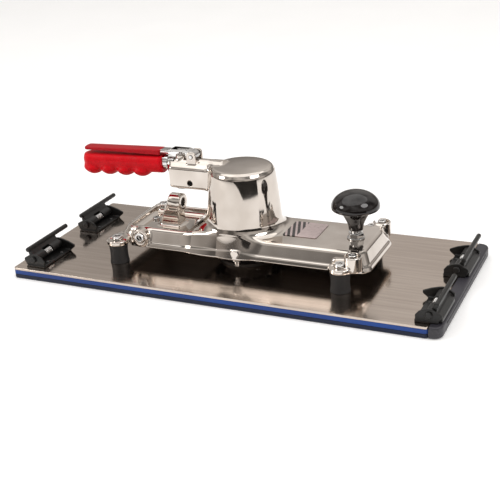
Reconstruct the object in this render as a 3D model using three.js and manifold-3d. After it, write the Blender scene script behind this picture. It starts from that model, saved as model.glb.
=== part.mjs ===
// An air-powered orbital board sander: a long flat pad, hung under a polished casting on four
// rubber posts, and driven by a vane motor through an eccentric shaft.
// Millimetres, +Z up. The origin is the centre of the pad's working face, +X points to the knob.

import * as THREE from "three";
import { mergeVertices } from "three/addons/utils/BufferGeometryUtils.js";
import Module from "manifold-3d";

const wasm = await Module();
wasm.setup();

// ---------- driving dimensions ----------

// Pad
const PAD_LENGTH = 457;
const PAD_WIDTH = 200;
const FACE_THICKNESS = 4.5;
const FOAM_THICKNESS = 4.5;
const PLATE_THICKNESS = 2.5;
const PAD_CORNER = 3;
const BUMPER_DEPTH = 12;
const BUMPER_CORNER = 9;

// Rubber posts and the bolts that hold them
const POST_PITCH_X = 245;
const POST_PITCH_Y = 102;
const POST_CENTRE_X = -4.5;
const POST_RADIUS = 10;
const POST_HEIGHT = 20;
const BOLT_RADIUS = 3;
const BOLT_HEAD_RADIUS = 5.6;
const BOLT_HEAD_HEIGHT = 3.6;
const BOLT_REACH = 8;
const EAR_RADIUS = 11.5;
const EAR_HEIGHT = 5;

// Deck casting
const DECK_TOP = 34;
const SKIRT_BOTTOM = 16;
const DECK_LENGTH = 262;
const DECK_CENTRE_X = 4;
const DECK_WIDTH = 71;
const DECK_CORNER = 11;
const SKIRT_SPREAD = 8;
const SKIRT_WALL = 4.5;
const DECK_THICKNESS = 5;
const RIM_WIDTH = 5;
const TRAY_LENGTH = 72;
const TRAY_DEPTH = 7;
const TRAY_CORNER = 6;

// Fittings on the deck
const BOSS_X = DECK_CENTRE_X + DECK_LENGTH / 2 - 6;
const BOSS_Y = 46;
const BOSS_RADIUS = 9;
const BOSS_TOP = 35.5;
const BOSS_RECESS_RADIUS = 6.6;
const BOSS_RECESS_DEPTH = 3;
const BOSS_SCREW_RADIUS = 4.4;
const SIDE_PLUG_X = -104;
const SIDE_PLUG_Z = 26;
const SIDE_PLUG_RADIUS = 5.6;
const SIDE_PLUG_FACE = 45;
const SIDE_PLUG_DEPTH = 5;
const DRAIN_X = 4;
const DRAIN_Y = -39;
const DRAIN_RADIUS = 3;
const DRAIN_DROP = 10;

// Motor housing
const MOTOR_X = -3;
const DOME_TOP = 99;
const DOME_TOP_RADIUS = 34.6;
const DOME_FOOT_RADIUS = 40;
const DOME_FOOT_REACH = 38;
const DOME_CROWN = 1.6;
const DOME_EDGE = 2.6;
const FLARE_RADIUS = 60;
const FLARE_HEIGHT = 20;
const MOTOR_BORE = 30;

// Motor and eccentric drive
const ORBIT_RADIUS = 1.6;
const SHAFT_RADIUS = 7.5;
const BEARING_RADIUS = 17.5;
const BEARING_WIDTH = 11;
const END_PLATE = 12;
const ROTOR_RADIUS = 20.5;
const ROTOR_LENGTH = 37;
const CYLINDER_BORE = 23;
const CYLINDER_OFFSET = 2.1;
const VANE_COUNT = 4;
const VANE_THICKNESS = 2.6;
const VANE_DEPTH = 9;
const HUB_RADIUS = 24;
const HUB_FLANGE_RADIUS = 30;
const HUB_FLANGE_THICKNESS = 3;
const HUB_HEIGHT = 15;
const WEIGHT_RADIUS = 25;
const WEIGHT_THICKNESS = 5;
const LOCK_RING_HEIGHT = 4;
const LOCK_RING_BORE = 22;

// Valve chest, between the motor housing and the handle
const BAR_RADIUS = 8.5;
const BAR_Z = 94;
const CHEST_LEFT = -82;
const CHEST_RIGHT = -38;
const CHEST_WIDTH = 26;
const CHEST_BOTTOM = 72;
const STEM_X = -72;
const STEM_RADIUS = 1.9;
const STEM_COLLAR_RADIUS = 4.6;
const CHAMBER_RADIUS = 5.6;
const AIRWAY_RADIUS = 4;
const STEM_GUIDE_TOP = 105.5;
const EXHAUST_BOSS_RADIUS = 9.5;
const EXHAUST_BOSS_X = [-88, -74];
const EXHAUST_BOSS_Z = 52.5;
const MUFFLER_RADIUS = 4.4;
const MUFFLER_DEPTH = 8;

// Handle
const HANDLE_X = -83;
const HANDLE_Z = 96.5;
const HANDLE_TILT = THREE.MathUtils.degToRad(1.9);
const GRIP_START = 8;
const GRIP_LENGTH = 95;
const GRIP_RADIUS = 12.2;
const GRIP_LAND = 7;
const RIDGE_COUNT = 4;
const RIDGE_PITCH = 20;
const RIDGE_FIRST = 27;
const RIDGE_RADIUS = 17;
const RIDGE_WIDTH = 7;
const NECK_RADIUS = 8;
const TUBE_RADIUS = 6.2;
const TUBE_BORE = 4.4;

// Throttle lever
const PIVOT_X = -56;
const PIVOT_Z = 106;
const PIVOT_RADIUS = 2;
const KNUCKLE_RADIUS = 4.4;
const LEVER_WIDTH = 15;
const LEVER_THICKNESS = 2.2;
const LEVER_HEIGHT = 14.6;
const LEVER_NOSE_WIDTH = 10.6;

// Knob
const KNOB_X = 117;
const KNOB_RADIUS = 24;
const KNOB_BOTTOM = 43;
const KNOB_TOP = 83.5;
const STUD_RADIUS = 5;

// Paper clips
const CLIP_REAR_X = 21.5 - PAD_LENGTH / 2;
const CLIP_FRONT_X = PAD_LENGTH / 2 - 13.5;
const CLIP_LENGTH = 50;
const CLIP_PITCH = 102;
const CLIP_FIRST_Y = -92;
const CLIP_OUTBOARD = 12;
const CLIP_INBOARD = 13;
const CLIP_HORN = 19;
const CLIP_PIN_Z = 8;
const CLIP_PIN_RADIUS = 2;
const CLIP_SHEET = 2.2;
const CLIP_REAR_BAR = 73;
const CLIP_FRONT_BAR = 67;
const CLIP_BAR_RADIUS = 2.5;
const CLIP_BAR_X = -6.5;
const CLIP_BAR_Z = 18;
const CLIP_BARREL_RADIUS = 4;

// Clearances
const SEAT = 0.05; // between faces that rest on each other
const RUN = 0.1; // between a shaft and its bore
const GAP = 0.4; // between pieces that move past each other

const PLATE_TOP = FACE_THICKNESS + FOAM_THICKNESS + PLATE_THICKNESS;

// ---------- finishes ----------

function finish(color, roughness, metalness) {
  return new THREE.MeshStandardMaterial({ color, roughness, metalness });
}

const POLISHED = finish(0xd9d5cc, 0.15, 1);
const BRUSHED = finish(0xa89b8e, 0.35, 1);
const STEEL = finish(0xb4b4b4, 0.3, 1);
const BLACK_STEEL = finish(0x1c1d1d, 0.45, 0.6);
const BLACK_RUBBER = finish(0x161616, 0.8, 0);
const BLACK_PLASTIC = finish(0x0c0a09, 0.12, 0);
const BLUE_FOAM = finish(0x12489a, 0.75, 0);
const RED_GRIP = finish(0xc80822, 0.45, 0);
const BRASS = finish(0xb08d4a, 0.35, 1);
const LABEL = finish(0xd8b9b6, 0.5, 0);
const FELT = finish(0x6b665d, 0.95, 0);

// ---------- solids ----------

function solid(geometry) {
  const bare = new THREE.BufferGeometry();
  const source = geometry.index ? geometry.toNonIndexed() : geometry;
  bare.setAttribute("position", source.getAttribute("position"));
  const merged = mergeVertices(bare, 1e-3);
  const mesh = new wasm.Mesh({
    numProp: 3,
    vertProperties: merged.attributes.position.array,
    triVerts: new Uint32Array(merged.index.array),
  });
  return new wasm.Manifold(mesh);
}

function asSolid(part) {
  return part.isBufferGeometry ? solid(part) : part;
}

function join(...parts) {
  return parts.map(asSolid).reduce((a, b) => a.add(b));
}

function cut(body, ...tools) {
  return tools.map(asSolid).reduce((a, b) => a.subtract(b), asSolid(body));
}

function geometryOf(manifold) {
  const mesh = manifold.getMesh();
  const geometry = new THREE.BufferGeometry();
  geometry.setAttribute("position", new THREE.BufferAttribute(mesh.vertProperties, 3));
  geometry.setIndex(new THREE.BufferAttribute(mesh.triVerts, 1));
  geometry.computeVertexNormals();
  return geometry;
}

function roundedOutline(length, width, corner) {
  const x = length / 2;
  const y = width / 2;
  const r = Math.min(corner, x, y);
  const outline = new THREE.Shape();
  outline.moveTo(-x + r, -y);
  outline.lineTo(x - r, -y);
  outline.absarc(x - r, -y + r, r, -Math.PI / 2, 0);
  outline.lineTo(x, y - r);
  outline.absarc(x - r, y - r, r, 0, Math.PI / 2);
  outline.lineTo(-x + r, y);
  outline.absarc(-x + r, y - r, r, Math.PI / 2, Math.PI);
  outline.lineTo(-x, -y + r);
  outline.absarc(-x + r, -y + r, r, Math.PI, Math.PI * 1.5);
  return outline;
}

// A block from one corner to the other, with its upright edges rounded.
function block([x0, x1], [y0, y1], [z0, z1], corner = 0) {
  if (corner === 0) {
    const box = new THREE.BoxGeometry(x1 - x0, y1 - y0, z1 - z0);
    return box.translate((x0 + x1) / 2, (y0 + y1) / 2, (z0 + z1) / 2);
  }
  const options = { depth: z1 - z0, bevelEnabled: false, curveSegments: 3 };
  const body = new THREE.ExtrudeGeometry(roundedOutline(x1 - x0, y1 - y0, corner), options);
  return body.translate((x0 + x1) / 2, (y0 + y1) / 2, z0);
}

// A block whose sides lean in by `spread` between its bottom and its top.
function leaningBlock(centreX, length, width, [z0, z1], corner, spread) {
  const low = length + 2 * spread;
  const body = block([-low / 2, low / 2], [-width / 2 - spread, width / 2 + spread], [z0, z1], corner);
  const position = body.getAttribute("position");
  for (let i = 0; i < position.count; i += 1) {
    if (position.getZ(i) < (z0 + z1) / 2) continue;
    position.setX(i, position.getX(i) * length / low);
    position.setY(i, position.getY(i) * width / (width + 2 * spread));
  }
  return body.translate(centreX, 0, 0);
}

// The number of flats that a round of this radius is drawn with.
function roundness(radius) {
  if (radius < 5) return 12;
  if (radius < 10) return 16;
  return radius < 20 ? 24 : 32;
}

// The radius of a many-sided bore whose flats clear a pin of this radius all round.
function roomFor(radius) {
  return (radius + RUN) / Math.cos(Math.PI / roundness(radius));
}

function cylinder(radius, [z0, z1], x = 0, y = 0, sides = roundness(radius)) {
  const body = new THREE.CylinderGeometry(radius, radius, z1 - z0, sides);
  return body.rotateX(Math.PI / 2).translate(x, y, (z0 + z1) / 2);
}

function cylinderAlongX(radius, [x0, x1], y, z, sides = roundness(radius)) {
  const body = new THREE.CylinderGeometry(radius, radius, x1 - x0, sides);
  return body.rotateZ(-Math.PI / 2).translate((x0 + x1) / 2, y, z);
}

function cylinderAlongY(radius, [y0, y1], x, z, sides = roundness(radius)) {
  const body = new THREE.CylinderGeometry(radius, radius, y1 - y0, sides);
  return body.translate(x, (y0 + y1) / 2, z);
}

// A turned piece about Z: [radius, height] points from the axis, up the outside, back to the axis.
function turned(profile, sides = roundness(Math.max(...profile.map(([radius]) => radius)))) {
  const points = profile.map(([radius, height]) => new THREE.Vector2(radius, height));
  return new THREE.LatheGeometry(points, sides).rotateX(Math.PI / 2);
}

// A flat plate whose outline is drawn in X and Z, and which runs along Y.
function platedAlongY(points, [y0, y1]) {
  const outline = new THREE.Shape(points.map(([x, z]) => new THREE.Vector2(x, z)));
  const body = new THREE.ExtrudeGeometry(outline, { depth: y1 - y0, bevelEnabled: false, curveSegments: 4 });
  return body.rotateX(Math.PI / 2).translate(0, y1, 0);
}

class Coil extends THREE.Curve {
  constructor(radius, pitch, turns) {
    super();
    this.radius = radius;
    this.pitch = pitch;
    this.turns = turns;
  }

  getPoint(t, target = new THREE.Vector3()) {
    const turn = t * this.turns;
    const angle = turn * Math.PI * 2;
    return target.set(this.radius * Math.cos(angle), this.radius * Math.sin(angle), turn * this.pitch);
  }
}

function spring(radius, wire, height, turns) {
  const section = new THREE.Shape();
  section.absarc(0, 0, wire, 0, Math.PI * 2);
  const pitch = (height - 2 * wire) / turns;
  const options = { extrudePath: new Coil(radius, pitch, turns), steps: turns * 7, curveSegments: 2 };
  return new THREE.ExtrudeGeometry(section, options).translate(0, 0, wire);
}

// ---------- assembly helpers ----------

const sander = new THREE.Group();
const upper = new THREE.Group(); // everything measured up from the plate's top face
upper.position.z = PLATE_TOP;
sander.add(upper);

function piece(name, shape, material, parent = upper) {
  const mesh = new THREE.Mesh(shape.isBufferGeometry ? shape : geometryOf(shape), material);
  mesh.name = name;
  parent.add(mesh);
  return mesh;
}

const plateX = [-PAD_LENGTH / 2, PAD_LENGTH / 2 - BUMPER_DEPTH];
const halfWidth = PAD_WIDTH / 2;
const bossSides = [-1, 1];
const posts = [
  ["rear_near", -1, -1],
  ["rear_far", -1, 1],
  ["front_near", 1, -1],
  ["front_far", 1, 1],
].map(([name, sideX, sideY]) => ({
  name,
  x: POST_CENTRE_X + sideX * POST_PITCH_X / 2,
  y: sideY * POST_PITCH_Y / 2,
}));

// ---------- pad ----------

function makePad() {
  const side = [-halfWidth, halfWidth];
  const foamTop = FACE_THICKNESS + FOAM_THICKNESS;
  piece("face_layer", block(plateX, side, [0, FACE_THICKNESS - SEAT], PAD_CORNER), BLACK_RUBBER, sander);
  piece("foam_layer", block(plateX, side, [FACE_THICKNESS, foamTop - SEAT], PAD_CORNER), BLUE_FOAM, sander);
  piece("pad_plate", block(plateX, side, [foamTop, PLATE_TOP - SEAT], PAD_CORNER), BRUSHED, sander);

  const bumperX = [plateX[1] + SEAT - BUMPER_CORNER * 2, plateX[1] + BUMPER_DEPTH];
  const bumper = cut(
    block(bumperX, side, [0, PLATE_TOP], BUMPER_CORNER),
    block([bumperX[0] - 1, plateX[1] + SEAT], [-halfWidth - 1, halfWidth + 1], [-1, PLATE_TOP + 1]),
  );
  piece("front_bumper", bumper, BLACK_RUBBER, sander);
}

function makePosts() {
  for (const post of posts) {
    const body = turned([
      [0, 0],
      [POST_RADIUS, 0],
      [POST_RADIUS, POST_HEIGHT - SEAT],
      [BOLT_RADIUS + GAP, POST_HEIGHT - SEAT],
      [BOLT_RADIUS + GAP, POST_HEIGHT - BOLT_REACH - GAP],
      [0, POST_HEIGHT - BOLT_REACH - GAP],
    ]).translate(post.x, post.y, 0);
    piece(`isolator_post_${post.name}`, body, BLACK_RUBBER);
  }
}

// ---------- deck casting ----------

function makeCasting() {
  const skirt = [SKIRT_BOTTOM, DECK_TOP];
  const corner = DECK_CORNER + SKIRT_SPREAD / 2;
  const outer = leaningBlock(DECK_CENTRE_X, DECK_LENGTH, DECK_WIDTH, skirt, corner, SKIRT_SPREAD);
  const hollowTop = DECK_TOP - DECK_THICKNESS;
  const hollow = leaningBlock(
    DECK_CENTRE_X,
    DECK_LENGTH - 2 * SKIRT_WALL,
    DECK_WIDTH - 2 * SKIRT_WALL,
    [SKIRT_BOTTOM - 1, hollowTop],
    DECK_CORNER,
    SKIRT_SPREAD,
  );
  const trayLeft = DECK_CENTRE_X - DECK_LENGTH / 2 + RIM_WIDTH;
  const trayFloor = DECK_TOP - TRAY_DEPTH;
  const trayY = DECK_WIDTH / 2 - RIM_WIDTH;
  const trayX = [trayLeft, trayLeft + TRAY_LENGTH];
  const tray = block(trayX, [-trayY, trayY], [trayFloor, DECK_TOP + 1], TRAY_CORNER);
  const trayUnder = block(
    [trayLeft - SKIRT_WALL, trayX[1] + SKIRT_WALL],
    [-DECK_WIDTH / 2, DECK_WIDTH / 2],
    [trayFloor - DECK_THICKNESS, hollowTop + 1],
  );
  const hollowLow = cut(hollow, trayUnder);

  const domeEdge = DOME_TOP - DOME_EDGE;
  const dome = turned([
    [0, SKIRT_BOTTOM],
    [DOME_TOP_RADIUS, SKIRT_BOTTOM],
    [DOME_TOP_RADIUS, DECK_TOP - TRAY_DEPTH],
    [DOME_FOOT_RADIUS, DECK_TOP],
    [(DOME_FOOT_RADIUS * 2 + DOME_TOP_RADIUS * 3) / 5, (DECK_TOP + domeEdge) / 2],
    [DOME_TOP_RADIUS, domeEdge],
    [DOME_TOP_RADIUS - DOME_EDGE * 0.3, DOME_TOP - DOME_EDGE * 0.3],
    [DOME_TOP_RADIUS - DOME_EDGE, DOME_TOP],
    [DOME_TOP_RADIUS * 0.5, DOME_TOP + DOME_CROWN * 0.75],
    [0, DOME_TOP + DOME_CROWN],
  ]).translate(MOTOR_X, 0, 0);
  const domeRoom = block([-DECK_LENGTH, DECK_LENGTH], [-DOME_FOOT_REACH, DOME_FOOT_REACH], [0, DOME_TOP * 2]);
  const trimmedDome = solid(dome).intersect(solid(domeRoom));

  const flareProfile = [[0, trayFloor - 1], [FLARE_RADIUS, trayFloor - 1], [FLARE_RADIUS, DECK_TOP]];
  for (let step = 1; step <= 5; step += 1) {
    const angle = (step / 5) * Math.PI / 2;
    flareProfile.push([
      FLARE_RADIUS - (FLARE_RADIUS - DOME_FOOT_RADIUS + 2) * Math.sin(angle),
      DECK_TOP + FLARE_HEIGHT * (1 - Math.cos(angle)),
    ]);
  }
  flareProfile.push([0, DECK_TOP + FLARE_HEIGHT]);
  const flareRoom = block(
    [MOTOR_X - FLARE_RADIUS - 1, MOTOR_X - 10],
    [-DECK_WIDTH / 2, DECK_WIDTH / 2],
    [0, DOME_TOP],
  );
  const flare = solid(turned(flareProfile).translate(MOTOR_X, 0, 0)).intersect(solid(flareRoom));

  const barEnd = MOTOR_X - DOME_TOP_RADIUS + 2;
  const bar = cylinderAlongX(BAR_RADIUS, [HANDLE_X - 1, barEnd], 0, BAR_Z);
  const chestY = [-CHEST_WIDTH / 2, CHEST_WIDTH / 2];
  const chest = block([CHEST_LEFT, CHEST_RIGHT], chestY, [CHEST_BOTTOM, BAR_Z], 8);
  const guide = cylinder(STEM_RADIUS + 3.4, [BAR_Z, STEM_GUIDE_TOP], STEM_X);

  const bossMid = (EXHAUST_BOSS_X[0] + EXHAUST_BOSS_X[1]) / 2;
  const exhaustBoss = cylinderAlongX(EXHAUST_BOSS_RADIUS, EXHAUST_BOSS_X, 0, EXHAUST_BOSS_Z);
  const exhaustFoot = platedAlongY([
    [bossMid - 19, trayFloor - 1],
    [bossMid + 4, trayFloor - 1],
    [bossMid + 5, EXHAUST_BOSS_Z],
    [bossMid - 6, EXHAUST_BOSS_Z + 5],
    [bossMid - 12, EXHAUST_BOSS_Z - 4],
  ], [-EXHAUST_BOSS_RADIUS + 1.5, EXHAUST_BOSS_RADIUS - 1.5]);
  const exhaustBoreX = [EXHAUST_BOSS_X[1] - MUFFLER_DEPTH - GAP, EXHAUST_BOSS_X[1] + 1];
  const exhaustBore = cylinderAlongX(roomFor(MUFFLER_RADIUS), exhaustBoreX, 0, EXHAUST_BOSS_Z);

  const pivotEars = [-1, 1].map((side) => {
    const inner = LEVER_NOSE_WIDTH / 2 + GAP;
    const y = side < 0 ? [-inner - 3, -inner] : [inner, inner + 3];
    return join(
      block([PIVOT_X - 5.5, PIVOT_X + 5.5], y, [BAR_Z, PIVOT_Z]),
      cylinderAlongY(5.5, y, PIVOT_X, PIVOT_Z),
    );
  });

  const earTop = POST_HEIGHT + EAR_HEIGHT;
  // A web from the skirt's wall out to a lug beside it.
  const wallY = DECK_WIDTH / 2 - SKIRT_WALL;
  const reach = (y) => [Math.min(Math.sign(y) * wallY, y), Math.max(Math.sign(y) * wallY, y)];
  const ears = posts.map((post) => {
    const half = EAR_RADIUS * 0.8;
    const web = block([post.x - half, post.x + half], reach(post.y), [POST_HEIGHT, earTop]);
    return join(cylinder(EAR_RADIUS, [POST_HEIGHT, earTop], post.x, post.y), web);
  });
  const earBores = posts.flatMap((post) => [
    cylinder(BOLT_RADIUS + GAP, [POST_HEIGHT - 1, earTop + 1], post.x, post.y),
    cylinder(BOLT_HEAD_RADIUS + GAP, [earTop, BOSS_TOP + 1], post.x, post.y),
  ]);
  const bosses = bossSides.map((side) => {
    const webX = [BOSS_X - BOSS_RADIUS * 0.7, BOSS_X + 2];
    const web = block(webX, reach(side * BOSS_Y), [POST_HEIGHT, DECK_TOP]);
    return join(cylinder(BOSS_RADIUS, [POST_HEIGHT, BOSS_TOP], BOSS_X, side * BOSS_Y), web);
  });
  const bossBores = bossSides.flatMap((side) => [
    cylinder(BOSS_RECESS_RADIUS, [BOSS_TOP - BOSS_RECESS_DEPTH, BOSS_TOP + 1], BOSS_X, side * BOSS_Y),
    cylinder(roomFor(BOLT_RADIUS), [POST_HEIGHT - 1, BOSS_TOP], BOSS_X, side * BOSS_Y),
  ]);

  // Room round each post for the pad's orbit.
  const postRelief = POST_RADIUS + 2 * ORBIT_RADIUS + GAP;
  const reliefs = posts.map((post) => cylinder(postRelief, [SKIRT_BOTTOM - 1, POST_HEIGHT], post.x, post.y));

  const sideBossY = [-SIDE_PLUG_FACE, -DECK_WIDTH / 2 + 3];
  const sideBoss = cylinderAlongY(SIDE_PLUG_RADIUS + 3.5, sideBossY, SIDE_PLUG_X, SIDE_PLUG_Z);
  const sideBoreY = [-SIDE_PLUG_FACE - 1, -SIDE_PLUG_FACE + SIDE_PLUG_DEPTH + GAP];
  const sideBore = cylinderAlongY(roomFor(SIDE_PLUG_RADIUS), sideBoreY, SIDE_PLUG_X, SIDE_PLUG_Z);

  const stemBore = cylinder(roomFor(STEM_RADIUS), [CHEST_BOTTOM, STEM_GUIDE_TOP + 1], STEM_X, 0);
  const chamber = cylinder(CHAMBER_RADIUS, [CHEST_BOTTOM - 1, BAR_Z - AIRWAY_RADIUS - 3], STEM_X, 0);
  const airway = cylinderAlongX(AIRWAY_RADIUS, [HANDLE_X - 2, MOTOR_X - 10], 0, BAR_Z);
  const socket = cylinderAlongX(TUBE_RADIUS + GAP, [HANDLE_X - 2, HANDLE_X + 6], 0, HANDLE_Z);
  const screwHoleY = [chestY[0] - 1, chestY[0] + 5];
  const setScrewHole = cylinderAlongY(2.8, screwHoleY, STEM_X + 15, CHEST_BOTTOM + 7);
  const knuckleY = [-LEVER_NOSE_WIDTH / 2 - GAP, LEVER_NOSE_WIDTH / 2 + GAP];
  const knuckleRoom = cylinderAlongY(KNUCKLE_RADIUS + 2 * GAP, knuckleY, PIVOT_X, PIVOT_Z);
  const pinBore = cylinderAlongY(roomFor(PIVOT_RADIUS), [-20, 20], PIVOT_X, PIVOT_Z);
  const motorBore = cylinder(MOTOR_BORE, [SKIRT_BOTTOM - 1, DOME_TOP - 7], MOTOR_X, 0);
  const studBore = cylinder(roomFor(STUD_RADIUS - 1), [hollowTop - 1, DECK_TOP + 1], KNOB_X, 0);
  const plugBore = cylinder(roomFor(DRAIN_RADIUS), [SKIRT_BOTTOM - 1, SKIRT_BOTTOM + 5], DRAIN_X, DRAIN_Y);

  const shell = cut(outer, hollowLow, tray);
  const drainPad = cylinder(DRAIN_RADIUS + 2.5, [SKIRT_BOTTOM, SKIRT_BOTTOM + 8], DRAIN_X, DRAIN_Y);
  const whole = join(
    shell, trimmedDome, flare, bar, chest, guide, exhaustBoss, exhaustFoot,
    ...pivotEars, ...ears, ...bosses, sideBoss, drainPad,
  );
  const casting = cut(
    whole, motorBore, stemBore, chamber, airway, socket, setScrewHole, pinBore, studBore,
    exhaustBore, knuckleRoom, sideBore, plugBore, ...earBores, ...bossBores, ...reliefs,
  );
  piece("housing_casting", casting, POLISHED);
}

function makeDeckFittings() {
  for (const post of posts) {
    const seat = POST_HEIGHT + EAR_HEIGHT + SEAT;
    const body = turned([
      [0, POST_HEIGHT - BOLT_REACH],
      [BOLT_RADIUS, POST_HEIGHT - BOLT_REACH],
      [BOLT_RADIUS, seat],
      [BOLT_HEAD_RADIUS, seat],
      [BOLT_HEAD_RADIUS, seat + BOLT_HEAD_HEIGHT - 0.6],
      [BOLT_HEAD_RADIUS - 0.6, seat + BOLT_HEAD_HEIGHT],
      [BOLT_RADIUS - 0.4, seat + BOLT_HEAD_HEIGHT],
      [BOLT_RADIUS - 0.4, seat + 1],
      [0, seat + 1],
    ]).translate(post.x, post.y, 0);
    piece(`corner_bolt_${post.name}`, body, STEEL);
  }

  for (const side of bossSides) {
    const seat = BOSS_TOP - BOSS_RECESS_DEPTH + SEAT;
    const screw = turned([
      [0, POST_HEIGHT + 4],
      [BOLT_RADIUS, POST_HEIGHT + 4],
      [BOLT_RADIUS, seat],
      [BOSS_SCREW_RADIUS, seat],
      [BOSS_SCREW_RADIUS, seat + 2.4],
      [BOSS_SCREW_RADIUS - 1, seat + 3.4],
      [0, seat + 3.8],
    ]).translate(BOSS_X, side * BOSS_Y, 0);
    piece(`boss_screw_${side < 0 ? "near" : "far"}`, screw, STEEL);
  }

  const plug = turned([
    [0, 0],
    [SIDE_PLUG_RADIUS, 0],
    [SIDE_PLUG_RADIUS, SIDE_PLUG_DEPTH + 1],
    [SIDE_PLUG_RADIUS - 1, SIDE_PLUG_DEPTH + 1.6],
    [2.6, SIDE_PLUG_DEPTH + 1.6],
    [2.6, SIDE_PLUG_DEPTH - 2],
    [0, SIDE_PLUG_DEPTH - 2],
  ]).rotateX(Math.PI / 2).translate(SIDE_PLUG_X, SIDE_PLUG_DEPTH - SIDE_PLUG_FACE, SIDE_PLUG_Z);
  piece("side_plug", plug, STEEL);

  const drain = turned([
    [0, SKIRT_BOTTOM - DRAIN_DROP],
    [DRAIN_RADIUS, SKIRT_BOTTOM - DRAIN_DROP],
    [DRAIN_RADIUS, SKIRT_BOTTOM - 4],
    [DRAIN_RADIUS + 2, SKIRT_BOTTOM - 4],
    [DRAIN_RADIUS + 2, SKIRT_BOTTOM - SEAT],
    [DRAIN_RADIUS, SKIRT_BOTTOM - SEAT],
    [DRAIN_RADIUS, SKIRT_BOTTOM + 4],
    [0, SKIRT_BOTTOM + 4],
  ]).translate(DRAIN_X, DRAIN_Y, 0);
  piece("oil_drain_screw", drain, STEEL);

  const label = block([44, 80], [-14, 24], [DECK_TOP + SEAT, DECK_TOP + 0.7], 2);
  piece("label_plate", label, LABEL);
}

function makeKnob() {
  const neck = KNOB_RADIUS * 0.3;
  const rim = KNOB_BOTTOM + 24;
  const profile = [
    [0, KNOB_BOTTOM],
    [neck, KNOB_BOTTOM],
    [neck + 1.6, KNOB_BOTTOM + 7],
    [neck + 4.8, KNOB_BOTTOM + 14],
    [neck + 8, KNOB_BOTTOM + 19.2],
    [KNOB_RADIUS - 3, KNOB_BOTTOM + 21.4],
    [KNOB_RADIUS - 0.6, rim - 2],
  ];
  for (let step = 0; step <= 7; step += 1) {
    const angle = (step / 7) * Math.PI / 2;
    profile.push([KNOB_RADIUS * Math.cos(angle), rim + (KNOB_TOP - rim) * Math.sin(angle)]);
  }
  profile[profile.length - 1][0] = 0;
  const studRoom = cylinder(roomFor(STUD_RADIUS - 1), [KNOB_BOTTOM - 1, KNOB_BOTTOM + 14 + GAP]);
  const knob = cut(turned(profile), studRoom);
  const placed = geometryOf(knob).translate(KNOB_X, 0, 0);
  piece("front_knob", placed, BLACK_PLASTIC);

  const inner = STUD_RADIUS - 1;
  const stud = turned([
    [0, DECK_TOP - DECK_THICKNESS - 3],
    [inner, DECK_TOP - DECK_THICKNESS - 3],
    [inner, DECK_TOP + SEAT],
    [STUD_RADIUS + 4, DECK_TOP + SEAT],
    [STUD_RADIUS + 4, DECK_TOP + 2],
    [STUD_RADIUS, DECK_TOP + 3.5],
    [STUD_RADIUS, KNOB_BOTTOM - SEAT],
    [inner, KNOB_BOTTOM - SEAT],
    [inner, KNOB_BOTTOM + 14],
    [0, KNOB_BOTTOM + 14],
  ]).translate(KNOB_X, 0, 0);
  piece("knob_stud", stud, STEEL);
}

// ---------- motor ----------

const ringFloor = HUB_HEIGHT + WEIGHT_THICKNESS + 3.5;
const lowerPlateZ = ringFloor + LOCK_RING_HEIGHT + SEAT;
const cylinderZ = lowerPlateZ + END_PLATE + SEAT;
const cylinderTop = cylinderZ + ROTOR_LENGTH + 2 * GAP;
const upperPlateZ = cylinderTop + SEAT;
const upperPlateTop = upperPlateZ + END_PLATE;

function ring(outer, inner, [z0, z1]) {
  return turned([[inner, z0], [outer, z0], [outer, z1], [inner, z1], [inner, z0]]);
}

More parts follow.
